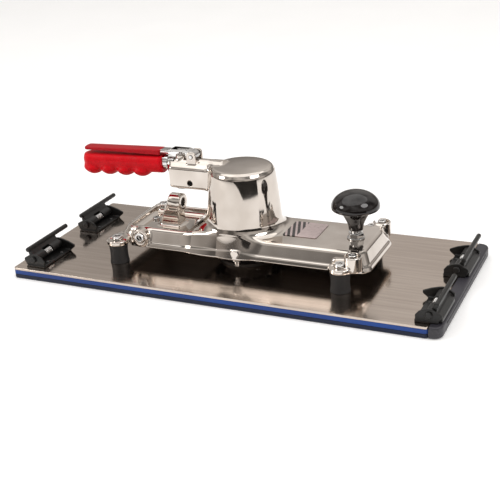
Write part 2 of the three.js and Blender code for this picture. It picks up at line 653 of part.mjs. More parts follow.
function makeMotor() {
  const motor = new THREE.Group();
  motor.position.x = MOTOR_X;
  upper.add(motor);

  const fit = MOTOR_BORE * Math.cos(Math.PI / roundness(MOTOR_BORE)) - RUN;
  piece("motor_lock_ring", ring(fit, LOCK_RING_BORE, [ringFloor, lowerPlateZ - SEAT]), STEEL, motor);

  const pocket = roomFor(BEARING_RADIUS);
  const lip = BEARING_RADIUS - 4;
  const shelf = lowerPlateZ + END_PLATE - 1;
  const lowerPlate = turned([
    [pocket, lowerPlateZ],
    [fit, lowerPlateZ],
    [fit, lowerPlateZ + END_PLATE],
    [lip, lowerPlateZ + END_PLATE],
    [lip, shelf],
    [pocket, shelf],
    [pocket, lowerPlateZ],
  ]);
  piece("lower_end_plate", lowerPlate, STEEL, motor);
  const inner = roomFor(SHAFT_RADIUS);
  piece("lower_bearing", ring(BEARING_RADIUS, inner, [shelf - BEARING_WIDTH, shelf - SEAT]), STEEL, motor);

  const liner = cut(
    cylinder(fit, [cylinderZ, cylinderTop], 0, 0),
    cylinder(CYLINDER_BORE, [cylinderZ - 1, cylinderTop + 1], CYLINDER_OFFSET, 0),
  );
  piece("motor_cylinder", liner, STEEL, motor);

  const upperShelf = upperPlateZ + 1;
  const upperPlate = turned([
    [lip, upperPlateZ],
    [fit, upperPlateZ],
    [fit, upperPlateTop],
    [pocket, upperPlateTop],
    [pocket, upperShelf],
    [lip, upperShelf],
    [lip, upperPlateZ],
  ]);
  piece("upper_end_plate", upperPlate, STEEL, motor);
  const upperInner = roomFor(SHAFT_RADIUS - 1);
  const upperBearingZ = [upperShelf + SEAT, upperShelf + BEARING_WIDTH];
  piece("upper_bearing", ring(BEARING_RADIUS, upperInner, upperBearingZ), STEEL, motor);

  const rotorZ = cylinderZ + GAP;
  const rotorBore = roomFor(SHAFT_RADIUS);
  let rotor = cut(cylinder(ROTOR_RADIUS, [rotorZ, rotorZ + ROTOR_LENGTH], 0, 0),
    cylinder(rotorBore, [rotorZ - 1, rotorZ + ROTOR_LENGTH + 1], 0, 0));
  for (let index = 0; index < VANE_COUNT; index += 1) {
    const angle = (index + 0.5) * (2 * Math.PI / VANE_COUNT);
    const slotHalf = VANE_THICKNESS / 2 + RUN;
    const slot = block(
      [ROTOR_RADIUS - VANE_DEPTH - 1, ROTOR_RADIUS + 2],
      [-slotHalf, slotHalf],
      [rotorZ - 1, rotorZ + ROTOR_LENGTH + 1],
    ).rotateZ(angle);
    rotor = cut(rotor, slot);
    const vane = block(
      [ROTOR_RADIUS - VANE_DEPTH, ROTOR_RADIUS + 0.2],
      [-VANE_THICKNESS / 2, VANE_THICKNESS / 2],
      [rotorZ, rotorZ + ROTOR_LENGTH],
    ).rotateZ(angle);
    piece(`rotor_vane_${index + 1}`, vane, FELT, motor);
  }
  piece("rotor", rotor, STEEL, motor);

  const pinBottom = HUB_HEIGHT - BEARING_WIDTH;
  const weightZ = HUB_HEIGHT + 1.5;
  const mainShaft = turned([
    [0, weightZ - 1],
    [SHAFT_RADIUS + 2.5, weightZ - 1],
    [SHAFT_RADIUS + 2.5, weightZ + WEIGHT_THICKNESS - 0.5],
    [SHAFT_RADIUS, weightZ + WEIGHT_THICKNESS],
    [SHAFT_RADIUS, rotorZ + ROTOR_LENGTH],
    [SHAFT_RADIUS - 1, rotorZ + ROTOR_LENGTH],
    [SHAFT_RADIUS - 1, upperPlateTop],
    [0, upperPlateTop],
  ]);
  const crankPin = cylinder(SHAFT_RADIUS, [pinBottom, weightZ], ORBIT_RADIUS, 0);
  piece("eccentric_shaft", join(mainShaft, crankPin), STEEL, motor);

  const weight = cut(
    cylinder(WEIGHT_RADIUS, [weightZ, weightZ + WEIGHT_THICKNESS - 1], 0, 0),
    block([SHAFT_RADIUS + 3, WEIGHT_RADIUS + 1], [-WEIGHT_RADIUS, WEIGHT_RADIUS], [0, DECK_TOP]),
    cylinder(roomFor(SHAFT_RADIUS + 2.5), [0, DECK_TOP], 0, 0),
  );
  piece("counterweight", weight, STEEL, motor);

  const hub = new THREE.Group();
  hub.position.x = ORBIT_RADIUS;
  motor.add(hub);
  const hubBore = roomFor(BEARING_RADIUS);
  const hubFloor = pinBottom - 1;
  const bearingHousing = turned([
    [0, SEAT],
    [HUB_FLANGE_RADIUS, SEAT],
    [HUB_FLANGE_RADIUS, HUB_FLANGE_THICKNESS],
    [HUB_RADIUS, HUB_FLANGE_THICKNESS + 1],
    [HUB_RADIUS, HUB_HEIGHT],
    [hubBore, HUB_HEIGHT],
    [hubBore, hubFloor],
    [0, hubFloor],
  ]);
  piece("pad_bearing_housing", bearingHousing, STEEL, hub);
  piece("pad_bearing", ring(BEARING_RADIUS, inner, [pinBottom, HUB_HEIGHT]), STEEL, hub);
}

// ---------- valve and handle ----------

const springZ = CHEST_BOTTOM + 6;
const collarZ = springZ + 7;
const noseUnder = PIVOT_Z + 3;

function makeValve() {
  const stem = turned([
    [0, collarZ],
    [STEM_COLLAR_RADIUS, collarZ],
    [STEM_COLLAR_RADIUS, collarZ + 2],
    [STEM_RADIUS, collarZ + 2],
    [STEM_RADIUS, noseUnder - 0.7],
    [STEM_RADIUS - 0.5, noseUnder - 0.2],
    [0, noseUnder - 0.2],
  ]).translate(STEM_X, 0, 0);
  piece("valve_stem", stem, STEEL);

  const wire = 0.6;
  const coil = spring(STEM_COLLAR_RADIUS - 1.2, wire, collarZ - springZ - 2 * SEAT, 4);
  piece("valve_spring", coil.translate(STEM_X, 0, springZ + SEAT), STEEL);

  const muffler = turned([
    [0, 0],
    [MUFFLER_RADIUS, 0],
    [MUFFLER_RADIUS, MUFFLER_DEPTH - 1],
    [MUFFLER_RADIUS - 1, MUFFLER_DEPTH - 1.6],
    [0, MUFFLER_DEPTH - 2.4],
  ]).rotateY(Math.PI / 2).translate(EXHAUST_BOSS_X[1] - MUFFLER_DEPTH, 0, EXHAUST_BOSS_Z);
  piece("exhaust_muffler", muffler, FELT);

  const cap = turned([
    [0, CHEST_BOTTOM - 2.4],
    [CHAMBER_RADIUS + 1, CHEST_BOTTOM - 2.4],
    [CHAMBER_RADIUS + 1.6, CHEST_BOTTOM - 1.8],
    [CHAMBER_RADIUS + 1.6, CHEST_BOTTOM - SEAT],
    [CHAMBER_RADIUS - 2 * RUN, CHEST_BOTTOM - SEAT],
    [CHAMBER_RADIUS - 2 * RUN, springZ],
    [0, springZ],
  ]).translate(STEM_X, 0, 0);
  piece("valve_cap", cap, STEEL);
}

// The handle leans down towards its free end, so it is built along -X in a tilted group.
function makeHandle() {
  const handle = new THREE.Group();
  handle.position.set(HANDLE_X, 0, HANDLE_Z);
  handle.rotation.y = -HANDLE_TILT;
  upper.add(handle);

  const gripEnd = GRIP_START + GRIP_LENGTH;
  const bevel = 5;
  const turnToHandle = (body) => body.rotateY(-Math.PI / 2);
  const barrel = turnToHandle(turned([
    [0, GRIP_START],
    [GRIP_RADIUS - 0.8, GRIP_START],
    [GRIP_RADIUS, GRIP_START + 0.8],
    [GRIP_RADIUS, gripEnd - bevel],
    [GRIP_RADIUS - bevel * 0.8, gripEnd],
    [0, gripEnd],
  ]));
  let ridges = [];
  for (let index = 0; index < RIDGE_COUNT; index += 1) {
    const middle = GRIP_START + RIDGE_FIRST + index * RIDGE_PITCH;
    const half = RIDGE_WIDTH / 2;
    const disc = turnToHandle(turned([
      [0, middle - half],
      [GRIP_RADIUS - 1, middle - half],
      [RIDGE_RADIUS - 1.4, middle - half * 0.55],
      [RIDGE_RADIUS, middle],
      [RIDGE_RADIUS - 1.4, middle + half * 0.55],
      [GRIP_RADIUS - 1, middle + half],
      [0, middle + half],
    ]));
    const ridgeZ = [-RIDGE_RADIUS - 1, -GRIP_RADIUS * 0.45];
    const below = block([-gripEnd, 0], [-RIDGE_RADIUS, RIDGE_RADIUS], ridgeZ);
    ridges.push(solid(disc).intersect(solid(below)));
  }
  const grip = cut(
    join(barrel, ...ridges),
    cylinderAlongX(roomFor(TUBE_RADIUS), [-gripEnd - 1, 0], 0, 0),
    block([-gripEnd - 1, 0], [-GRIP_RADIUS, GRIP_RADIUS], [GRIP_LAND, GRIP_RADIUS + 1]),
  );
  piece("grip_sleeve", grip, RED_GRIP, handle);

  const spigot = -4.5;
  const shoulder = 1.8;
  const bushDepth = 10;
  const tube = turnToHandle(turned([
    [TUBE_BORE, spigot],
    [TUBE_RADIUS - 0.4, spigot],
    [TUBE_RADIUS - 0.4, shoulder],
    [NECK_RADIUS, shoulder],
    [NECK_RADIUS, GRIP_START - SEAT - GAP],
    [TUBE_RADIUS, GRIP_START - SEAT - GAP],
    [TUBE_RADIUS, gripEnd],
    [TUBE_BORE, gripEnd],
    [TUBE_BORE, spigot],
  ]));
  piece("handle_tube", tube, POLISHED, handle);

  const bush = turnToHandle(ring(TUBE_BORE - RUN, TUBE_BORE - 1, [gripEnd - bushDepth, gripEnd + 1]));
  piece("inlet_bush", bush, BRASS, handle);
}

function makeLever() {
  const arch = new THREE.Shape();
  const half = LEVER_WIDTH / 2;
  const sag = 1;
  const under = LEVER_HEIGHT - LEVER_THICKNESS;
  arch.moveTo(-half, LEVER_HEIGHT - sag);
  arch.lineTo(-half, under - sag);
  arch.lineTo(-half * 0.5, under);
  arch.lineTo(half * 0.5, under);
  arch.lineTo(half, under - sag);
  arch.lineTo(half, LEVER_HEIGHT - sag);
  arch.lineTo(half * 0.5, LEVER_HEIGHT);
  arch.lineTo(-half * 0.5, LEVER_HEIGHT);
  arch.closePath();
  const bladeStart = GRIP_START + 1;
  const bladeEnd = GRIP_START + GRIP_LENGTH - 1;
  const blade = new THREE.ExtrudeGeometry(arch, { depth: bladeEnd - bladeStart, bevelEnabled: false });
  blade.rotateX(Math.PI / 2).rotateZ(-Math.PI / 2).translate(-bladeStart, 0, 0);
  blade.rotateY(-HANDLE_TILT).translate(HANDLE_X, 0, HANDLE_Z);

  const stripX = HANDLE_X - bladeStart - 3;
  const stripTop = HANDLE_Z - (bladeStart + 3) * Math.tan(HANDLE_TILT) + LEVER_HEIGHT - 0.3;
  const nose = platedAlongY([
    [PIVOT_X, PIVOT_Z - KNUCKLE_RADIUS + 0.3],
    [PIVOT_X, PIVOT_Z + KNUCKLE_RADIUS],
    [STEM_X + 8, noseUnder + 4],
    [STEM_X - 6, noseUnder + 4],
    [STEM_X - 12, stripTop],
    [stripX, stripTop],
    [stripX, stripTop - LEVER_THICKNESS + 0.6],
    [STEM_X - 12, stripTop - LEVER_THICKNESS - 0.4],
    [STEM_X - 6, noseUnder],
    [PIVOT_X - 7, noseUnder],
  ], [-LEVER_NOSE_WIDTH / 2, LEVER_NOSE_WIDTH / 2]);
  const noseY = [-LEVER_NOSE_WIDTH / 2, LEVER_NOSE_WIDTH / 2];
  const knuckle = cylinderAlongY(KNUCKLE_RADIUS, noseY, PIVOT_X, PIVOT_Z);
  const bore = cylinderAlongY(roomFor(PIVOT_RADIUS), [-20, 20], PIVOT_X, PIVOT_Z);
  piece("throttle_lever", cut(join(blade, nose, knuckle), bore), RED_GRIP);

  const reach = LEVER_NOSE_WIDTH / 2 + GAP + 3.6;
  piece("lever_pin", cylinderAlongY(PIVOT_RADIUS, [-reach, reach], PIVOT_X, PIVOT_Z), STEEL);
}

// ---------- paper clips ----------

// A clip is built for the rear end of the pad and turned to face outwards: x is measured inboard
// from its pin, y from its near end, z from the plate.
function makeClip(name, pinX, outward, nearY, barLength) {
  const clip = new THREE.Group();
  clip.position.set(pinX, nearY, 0);
  upper.add(clip);
  const out = (points) => outward < 0 ? points : points.map(([x, z]) => [-x, z]).reverse();
  const range = (low, high) => outward < 0 ? [low, high] : [-high, -low];

  const cheekFoot = [[-8, CLIP_SHEET - 0.2], [CLIP_INBOARD, CLIP_SHEET - 0.2]];
  const cheekTop = [[4, 13.4], [-3, 14], [-CLIP_OUTBOARD, 9], [-CLIP_OUTBOARD, 6]];
  const nearCheek = [...cheekFoot, [CLIP_INBOARD, 7], ...cheekTop];
  const farCheek = [...cheekFoot, [CLIP_HORN, 5.4], [CLIP_HORN, 8], [11, 11.4], ...cheekTop];
  const pinBore = cylinderAlongY(roomFor(CLIP_PIN_RADIUS), [-5, CLIP_LENGTH + 5], 0, CLIP_PIN_Z);
  const base = cut(
    join(
      block(range(-8, CLIP_INBOARD), [0, CLIP_LENGTH], [SEAT, CLIP_SHEET]),
      platedAlongY(out(nearCheek), [0, CLIP_SHEET]),
      platedAlongY(out(farCheek), [CLIP_LENGTH - CLIP_SHEET, CLIP_LENGTH]),
    ),
    pinBore,
  );
  piece(`clip_base_${name}`, base, BLACK_STEEL, clip);

  const pin = turned([
    [0, -2.4],
    [3.4, -2.4],
    [3.4, -SEAT],
    [CLIP_PIN_RADIUS, -SEAT],
    [CLIP_PIN_RADIUS, CLIP_LENGTH + 2],
    [0, CLIP_LENGTH + 2],
  ]).rotateX(-Math.PI / 2).translate(0, 0, CLIP_PIN_Z);
  piece(`clip_pin_${name}`, pin, STEEL, clip);

  const inside = [CLIP_SHEET + GAP, CLIP_LENGTH - CLIP_SHEET - GAP];
  const springRoom = [CLIP_LENGTH / 2 - 6, CLIP_LENGTH / 2 + 6];
  const leaf = platedAlongY(out([
    [-3, CLIP_PIN_Z + 3],
    [-3, CLIP_PIN_Z - 1.6],
    [-9, 2.8],
    [-9, 0.7],
    [-CLIP_OUTBOARD, 0.7],
    [-CLIP_OUTBOARD, 4],
    [-8, CLIP_PIN_Z + 1.6],
  ]), inside);
  const riser = platedAlongY(out([
    [-4, CLIP_PIN_Z],
    [0, CLIP_PIN_Z + 3.4],
    [CLIP_BAR_X + 1.6, CLIP_BAR_Z],
    [CLIP_BAR_X - 1.2, CLIP_BAR_Z],
    [-6.2, CLIP_PIN_Z + 2],
  ]), inside);
  const barrel = cylinderAlongY(CLIP_BARREL_RADIUS, inside, 0, CLIP_PIN_Z);
  const barX = outward < 0 ? CLIP_BAR_X : -CLIP_BAR_X;
  const bar = cylinderAlongY(CLIP_BAR_RADIUS, [0, barLength], barX, CLIP_BAR_Z);
  const jaw = cut(
    join(leaf, riser, barrel, bar),
    pinBore,
    block([-5.4, 5.4], springRoom, [CLIP_PIN_Z - 5.5, CLIP_PIN_Z + 5.2]),
  );
  piece(`clip_jaw_${name}`, jaw, BLACK_STEEL, clip);

  const coilLength = springRoom[1] - springRoom[0] - 2 * GAP;
  const coil = spring(CLIP_PIN_RADIUS + 1.3, 0.9, coilLength, 4);
  coil.rotateX(-Math.PI / 2).translate(0, springRoom[0] + GAP, CLIP_PIN_Z);
  piece(`clip_spring_${name}`, coil, STEEL, clip);
}

function makeClips() {
  makeClip("rear_near", CLIP_REAR_X, -1, CLIP_FIRST_Y, CLIP_REAR_BAR);
  makeClip("rear_far", CLIP_REAR_X, -1, CLIP_FIRST_Y + CLIP_PITCH, CLIP_REAR_BAR);
  makeClip("front_near", CLIP_FRONT_X, 1, CLIP_FIRST_Y, CLIP_FRONT_BAR);
  makeClip("front_far", CLIP_FRONT_X, 1, CLIP_FIRST_Y + CLIP_PITCH, CLIP_FRONT_BAR);
}

makePad();
makePosts();
makeCasting();
makeDeckFittings();
makeKnob();
makeMotor();
makeValve();
makeHandle();
makeLever();
makeClips();

export default sander;
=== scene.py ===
# %% [markdown]
# # An air-driven orbital board sander
#
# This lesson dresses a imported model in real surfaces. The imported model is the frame: it says where each piece is and
# which body it rides on. Each visible piece is then rebuilt here in fine mesh, in millimetres measured from the
# surface that the tool stands on, and given a material of its own.

import math

import bpy
import numpy as np
from mathutils import Matrix, Vector


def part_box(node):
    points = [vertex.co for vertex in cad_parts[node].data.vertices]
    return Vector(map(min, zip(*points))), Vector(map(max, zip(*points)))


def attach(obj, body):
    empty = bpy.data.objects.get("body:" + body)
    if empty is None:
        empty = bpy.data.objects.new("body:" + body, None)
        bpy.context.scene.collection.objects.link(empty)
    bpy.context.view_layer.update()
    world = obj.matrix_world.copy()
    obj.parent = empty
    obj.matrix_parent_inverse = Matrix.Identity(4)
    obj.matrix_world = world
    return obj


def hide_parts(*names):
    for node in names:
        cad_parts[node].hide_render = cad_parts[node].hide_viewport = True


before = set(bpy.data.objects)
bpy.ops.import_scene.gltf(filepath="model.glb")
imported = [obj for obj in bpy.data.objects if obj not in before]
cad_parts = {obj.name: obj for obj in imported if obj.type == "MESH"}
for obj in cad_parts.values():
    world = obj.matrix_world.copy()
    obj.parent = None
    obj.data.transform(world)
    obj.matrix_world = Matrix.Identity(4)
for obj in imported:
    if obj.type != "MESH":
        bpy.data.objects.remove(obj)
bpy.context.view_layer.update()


def node_box(node):
    low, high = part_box(node)
    return np.array(low) * 1000, np.array(high) * 1000


def node_middle(node):
    low, high = node_box(node)
    return np.round((low + high) / 2, 1)


PLATE = round(node_box("pad_plate")[1][2] + 0.05, 2)
print("plate top:", PLATE, "mm")

# %% [markdown]
# ## Materials
#
# Every surface is a small node network: one noise for slow changes of colour, a finer one for roughness and tiny
# bumps. A stretch along one axis turns the fine noise into brushing. Wear and grease show as roughness, not as paint.

# %% Material builder


def linked(tree, kind, **inputs):
    node = tree.nodes.new(kind)
    for name, value in inputs.items():
        key = name.replace("_", " ")
        if isinstance(value, bpy.types.NodeSocket):
            tree.links.new(value, node.inputs[key])
        else:
            node.inputs[key].default_value = value
    return node


def material(name, dark, light, rough, metal=0.0, grain=60.0, bump=0.1, stretch=(1, 1, 1), tone=8.0, coat=0.0,
             depth=0.0004, detail=4.0):
    made = bpy.data.materials.new(name)
    made.use_nodes = True
    tree = made.node_tree
    surface = tree.nodes["Principled BSDF"]
    place = tree.nodes.new("ShaderNodeTexCoord").outputs["Object"]
    stretched = linked(tree, "ShaderNodeMapping", Vector=place, Scale=stretch).outputs["Vector"]
    slow = linked(tree, "ShaderNodeTexNoise", Vector=place, Scale=tone, Detail=2.0).outputs["Fac"]
    fine = linked(tree, "ShaderNodeTexNoise", Vector=stretched, Scale=grain * 10, Detail=detail).outputs["Fac"]
    both = tree.nodes.new("ShaderNodeMath")
    both.operation = "MULTIPLY_ADD"
    tree.links.new(fine, both.inputs[0])
    both.inputs[1].default_value = 0.5
    half = tree.nodes.new("ShaderNodeMath")
    half.operation = "MULTIPLY"
    half.inputs[1].default_value = 0.5
    tree.links.new(slow, half.inputs[0])
    tree.links.new(half.outputs[0], both.inputs[2])
    ramp = tree.nodes.new("ShaderNodeValToRGB")
    ramp.color_ramp.elements[0].position = 0.36
    ramp.color_ramp.elements[0].color = (*dark, 1)
    ramp.color_ramp.elements[1].position = 0.64
    ramp.color_ramp.elements[1].color = (*light, 1)
    tree.links.new(both.outputs[0], ramp.inputs[0])
    tree.links.new(ramp.outputs[0], surface.inputs["Base Color"])
    shine = tree.nodes.new("ShaderNodeMapRange")
    shine.inputs["From Min"].default_value = 0.3
    shine.inputs["From Max"].default_value = 0.7
    shine.inputs["To Min"].default_value = rough[0]
    shine.inputs["To Max"].default_value = rough[1]
    tree.links.new(both.outputs[0], shine.inputs["Value"])
    tree.links.new(shine.outputs[0], surface.inputs["Roughness"])
    relief = linked(tree, "ShaderNodeBump", Height=fine, Strength=bump, Distance=depth)
    tree.links.new(relief.outputs[0], surface.inputs["Normal"])
    surface.inputs["Metallic"].default_value = metal
    surface.inputs["Coat Weight"].default_value = coat
    return made


POLISHED = material("polished_cast_aluminium", (0.56, 0.505, 0.455), (0.70, 0.645, 0.595), (0.035, 0.10), 1.0, 5, 0.05,
                    tone=14, depth=0.0006, detail=1.5)
# Very dark rough cast metal: on the faces inside the casting's hollow, this darkness is painted shade.
DARK_CAST_AND_PAINTED_SHADE = material("dark_cast_aluminium_and_painted_shade", (0.06, 0.05, 0.045), (0.12, 0.105, 0.095), (0.5, 0.7), 0.6, 90, 0.3)
BRUSHED = material("brushed_stainless_sheet", (0.50, 0.425, 0.37), (0.63, 0.55, 0.485), (0.09, 0.17), 1.0, 25, 0.03,
                   stretch=(0.05, 1, 1), tone=5)
STEEL = material("zinc_plated_steel", (0.44, 0.43, 0.42), (0.62, 0.61, 0.60), (0.16, 0.30), 1.0, 30, 0.03)
TURNED = material("turned_steel", (0.40, 0.40, 0.41), (0.58, 0.58, 0.59), (0.2, 0.36), 1.0, 70, 0.12,
                  stretch=(1, 1, 6))
CHROME = material("bright_plating", (0.66, 0.65, 0.64), (0.80, 0.79, 0.78), (0.05, 0.12), 1.0, 20, 0.04)
RUBBER = material("moulded_rubber", (0.010, 0.010, 0.011), (0.024, 0.023, 0.024), (0.48, 0.68), 0, 90, 0.25)
BUMPER = material("bumper_rubber", (0.016, 0.015, 0.020), (0.045, 0.042, 0.052), (0.38, 0.55), 0, 70, 0.3)
FACE = material("face_rubber_matt", (0.003, 0.006, 0.022), (0.006, 0.012, 0.040), (0.6, 0.8), 0, 120, 0.3)
FOAM = material("blue_cell_foam", (0.001, 0.022, 0.15), (0.003, 0.062, 0.32), (0.45, 0.65), 0, 160, 0.5)
BLACK_OXIDE = material("black_oxide_spring_steel", (0.006, 0.006, 0.006), (0.022, 0.021, 0.020), (0.24, 0.45), 0.3, 50,
                       0.15)
PLASTIC = material("glossy_black_plastic", (0.004, 0.003, 0.003), (0.011, 0.008, 0.007), (0.05, 0.11), 0, 30, 0.02,
                   coat=0.1)
GRIP = material("dipped_red_sleeve", (0.44, 0.0, 0.004), (0.68, 0.0, 0.008), (0.34, 0.50), 0, 70, 0.18, tone=20)
LEVER = material("dipped_red_blade", (0.30, 0.0, 0.004), (0.46, 0.0, 0.008), (0.26, 0.40), 0, 60, 0.12)
for red in (GRIP, LEVER):
    red.node_tree.nodes["Principled BSDF"].inputs["Specular IOR Level"].default_value = 0.16
BRASS = material("turned_brass", (0.46, 0.30, 0.10), (0.64, 0.44, 0.18), (0.2, 0.35), 1.0, 60, 0.1)
FELT = material("pressed_felt", (0.05, 0.045, 0.04), (0.12, 0.11, 0.10), (0.85, 0.98), 0, 200, 0.8)
VANE = material("phenolic_laminate", (0.14, 0.07, 0.03), (0.26, 0.15, 0.07), (0.4, 0.6), 0, 60, 0.2)
DARK = material("shadowed_bore", (0.012, 0.011, 0.010), (0.03, 0.028, 0.026), (0.5, 0.7), 0.4, 60, 0.2)
print("materials:", len(bpy.data.materials))


# %% [markdown]
# ## Making meshes
#
# Turned pieces are lathed from a profile. Cast and bent pieces are made as distance fields: each shape is a rule that
# says how far a point is from its skin, a soft minimum melts two rules together with a fillet, as a casting has, and a
# soft maximum cuts one from another with a rounded edge. The skin is then drawn where the distance is zero.

# %% Mesh helpers


def add_mesh(name, points, faces, finish, smooth=True, normals=None):
    mesh = bpy.data.meshes.new(name)
    mesh.from_pydata([tuple(p) for p in np.asarray(points) / 1000], [], [tuple(f) for f in faces])
    mesh.validate()
    mesh.polygons.foreach_set("use_smooth", [smooth] * len(mesh.polygons))
    if normals is not None:
        mesh.normals_split_custom_set_from_vertices([tuple(n) for n in normals])
    mesh.materials.append(finish)
    made = bpy.data.objects.new(name, mesh)
    bpy.context.scene.collection.objects.link(made)
    return made


def settle(piece, body, slot, *nodes):
    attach(piece, body)
    if nodes:
        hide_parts(*nodes)
    return piece


def finish_edges(piece, width=0.3, segments=2, angle=40):
    bevel = piece.modifiers.new("edge", "BEVEL")
    bevel.width = width / 1000
    bevel.segments = segments
    bevel.limit_method = "ANGLE"
    bevel.angle_limit = math.radians(angle)
    bevel.harden_normals = True
    piece.data.polygons.foreach_set("use_smooth", [True] * len(piece.data.polygons))
    return piece


def turned(name, profile, finish, centre=(0, 0, 0), axis="z", sides=64, edge=0.35):
    """Lathe (radius, height) points about an axis through `centre`; the profile may start and end on the axis."""
    points, faces, rows = [], [], []
    for radius, height in profile:
        row = []
        for k in range(1 if radius == 0 else sides):
            angle = 2 * math.pi * k / sides
            row.append(len(points))
            points.append((radius * math.cos(angle), radius * math.sin(angle), height))
        rows.append(row)
    for a, b in zip(rows, rows[1:]):
        for k in range(sides):
            n = (k + 1) % sides
            if len(a) == 1 and len(b) == 1:
                continue
            if len(a) == 1:
                faces.append((a[0], b[n], b[k]))
            elif len(b) == 1:
                faces.append((a[k], a[n], b[0]))
            else:
                faces.append((a[k], a[n], b[n], b[k]))
    points = np.array(points, float)
    if axis == "x":
        points = points[:, [2, 1, 0]] * np.array([1, -1, 1])
    elif axis == "y":
        points = points[:, [0, 2, 1]] * np.array([1, 1, -1])
    elif axis == "-y":
        points = points[:, [0, 2, 1]] * np.array([1, -1, 1])
    points = points + np.array(centre)
    made = add_mesh(name, points, faces, finish)
    return finish_edges(made, edge) if edge else made


def soft_min(a, b, k):
    blend = np.clip(0.5 + 0.5 * (b - a) / k, 0, 1)
    return b * (1 - blend) + a * blend - k * blend * (1 - blend)


def soft_max(a, b, k):
    return -soft_min(-a, -b, k)


def rounded(a, b, edge):
    """Joins the distances to two square faces with a round corner."""
    return np.minimum(np.maximum(a, b), 0) + np.sqrt(np.maximum(a, 0) ** 2 + np.maximum(b, 0) ** 2) - edge


def box_rule(x, y, z, lows, highs, edge=1.0):
    """Distance to a box between two corners, with rounded edges."""
    parts = []
    for value, low, high in zip((x, y, z), lows, highs):
        parts.append(np.abs(value - (low + high) / 2) - (high - low) / 2 + edge)
    outside = np.sqrt(sum(np.maximum(p, 0) ** 2 for p in parts))
    inside = np.minimum(np.maximum(np.maximum(parts[0], parts[1]), parts[2]), 0)
    return outside + inside - edge


def rod_rule(u, v, along, radius, start, stop, edge=0.6):
    """Distance to a cylinder: u and v are measured across it, `along` runs with it."""
    across = np.sqrt(u * u + v * v) - radius + edge
    ends = np.abs(along - (start + stop) / 2) - (stop - start) / 2 + edge
    return rounded(across, ends, edge)


def outline_rule(u, v, corners):
    """Signed distance to a closed flat outline."""
    far = np.full(np.broadcast(u, v).shape, 1e9)
    sign = np.ones(far.shape)
    count = len(corners)
    for i in range(count):
        (au, av), (bu, bv) = corners[i], corners[i - 1]
        eu, ev = bu - au, bv - av
        wu, wv = u - au, v - av
        share = np.clip((wu * eu + wv * ev) / (eu * eu + ev * ev), 0, 1)
        far = np.minimum(far, (wu - eu * share) ** 2 + (wv - ev * share) ** 2)
        above = v >= av
        below = v < bv
        left = eu * wv > ev * wu
        flip = (above & below & left) | (~above & ~below & ~left)
        sign = np.where(flip, -sign, sign)
    return sign * np.sqrt(far)


def plate_rule(u, v, along, corners, start, stop, edge=0.5):
    """Distance to a flat outline given a thickness, with rounded edges."""
    flat = outline_rule(u, v, corners) + edge
    ends = np.abs(along - (start + stop) / 2) - (stop - start) / 2 + edge
    return rounded(flat, ends, edge)


def skin(name, rule, low, high, step, finish, move=None):
    """Draws the surface where rule(x, y, z) is zero, then slides each point onto it and shades it by the rule."""
    axes = [np.arange(a - 2 * step, b + 3 * step, step, dtype=np.float64) for a, b in zip(low, high)]
    grid = rule(axes[0][:, None, None], axes[1][None, :, None], axes[2][None, None, :])
    grid = np.broadcast_to(grid, [len(a) for a in axes])
    solid = grid < 0
    corners = [(i, j, k) for i in (0, 1) for j in (0, 1) for k in (0, 1)]

    def shifted(values, corner):
        return values[tuple(slice(c, c + n - 1) for c, n in zip(corner, grid.shape))]

    full = np.ones([n - 1 for n in grid.shape], bool)
    none = np.ones_like(full)
    for corner in corners:
        part = shifted(solid, corner)
        full &= part
        none &= ~part
    cells = np.argwhere(~full & ~none)
    number = -np.ones(full.shape, np.int64)
    number[tuple(cells.T)] = np.arange(len(cells))
    total = np.zeros((len(cells), 3))
    count = np.zeros(len(cells))
    value = {c: grid[tuple((cells + np.array(c)).T)] for c in corners}
    for a in corners:
        for axis in range(3):
            if a[axis]:
                continue
            b = tuple(1 if i == axis else a[i] for i in range(3))
            crossing = (value[a] < 0) != (value[b] < 0)
            share = np.where(crossing, value[a] / np.where(crossing, value[a] - value[b], 1), 0)
            spot = np.array(a, float)[None, :].repeat(len(cells), 0)
            spot[:, axis] += share
            total += spot * crossing[:, None]
            count += crossing
    points = (cells + total / count[:, None]) * step + np.array([a[0] for a in axes])
    faces = []
    for axis in range(3):
        b, c = (axis + 1) % 3, (axis + 2) % 3
        ahead = np.roll(solid, -1, axis)
        edges = np.argwhere(solid != ahead)
        edges = edges[(edges[:, axis] < grid.shape[axis] - 1) & (edges[:, b] > 0) & (edges[:, c] > 0)]
        edges = edges[(edges[:, b] < grid.shape[b] - 1) & (edges[:, c] < grid.shape[c] - 1)]
        ring = []
        for db, dc in ((0, 0), (-1, 0), (-1, -1), (0, -1)):
            cell = edges.copy()
            cell[:, b] += db
            cell[:, c] += dc
            ring.append(number[tuple(cell.T)])
        quads = np.stack(ring, 1)
        leaving = solid[tuple(edges.T)]
        faces.append(np.where(leaving[:, None], quads, quads[:, ::-1]))
    faces = np.concatenate(faces)

    def slope(spots):
        small = 0.02
        out = np.zeros_like(spots)
        for axis in range(3):
            ahead, back = spots.copy(), spots.copy()
            ahead[:, axis] += small
            back[:, axis] -= small
            out[:, axis] = (rule(*ahead.T) - rule(*back.T)) / (2 * small)
        return out

    for _ in range(3):
        lean = slope(points)
        size = np.maximum((lean ** 2).sum(1), 0.05)
        shift = -rule(*points.T)[:, None] * lean / size[:, None]
        points = points + np.clip(shift, -step / 2, step / 2)
    normals = slope(points)
    normals /= np.maximum(np.linalg.norm(normals, axis=1), 1e-6)[:, None]
    if move is not None:
        turn = np.array(move.to_3x3())
        points = points @ turn.T + np.array(move.translation)
        normals = normals @ turn.T
    print(f"{name}: {len(points)} points")
    return add_mesh(name, points, faces, finish, True, normals)


FINE = 1.0


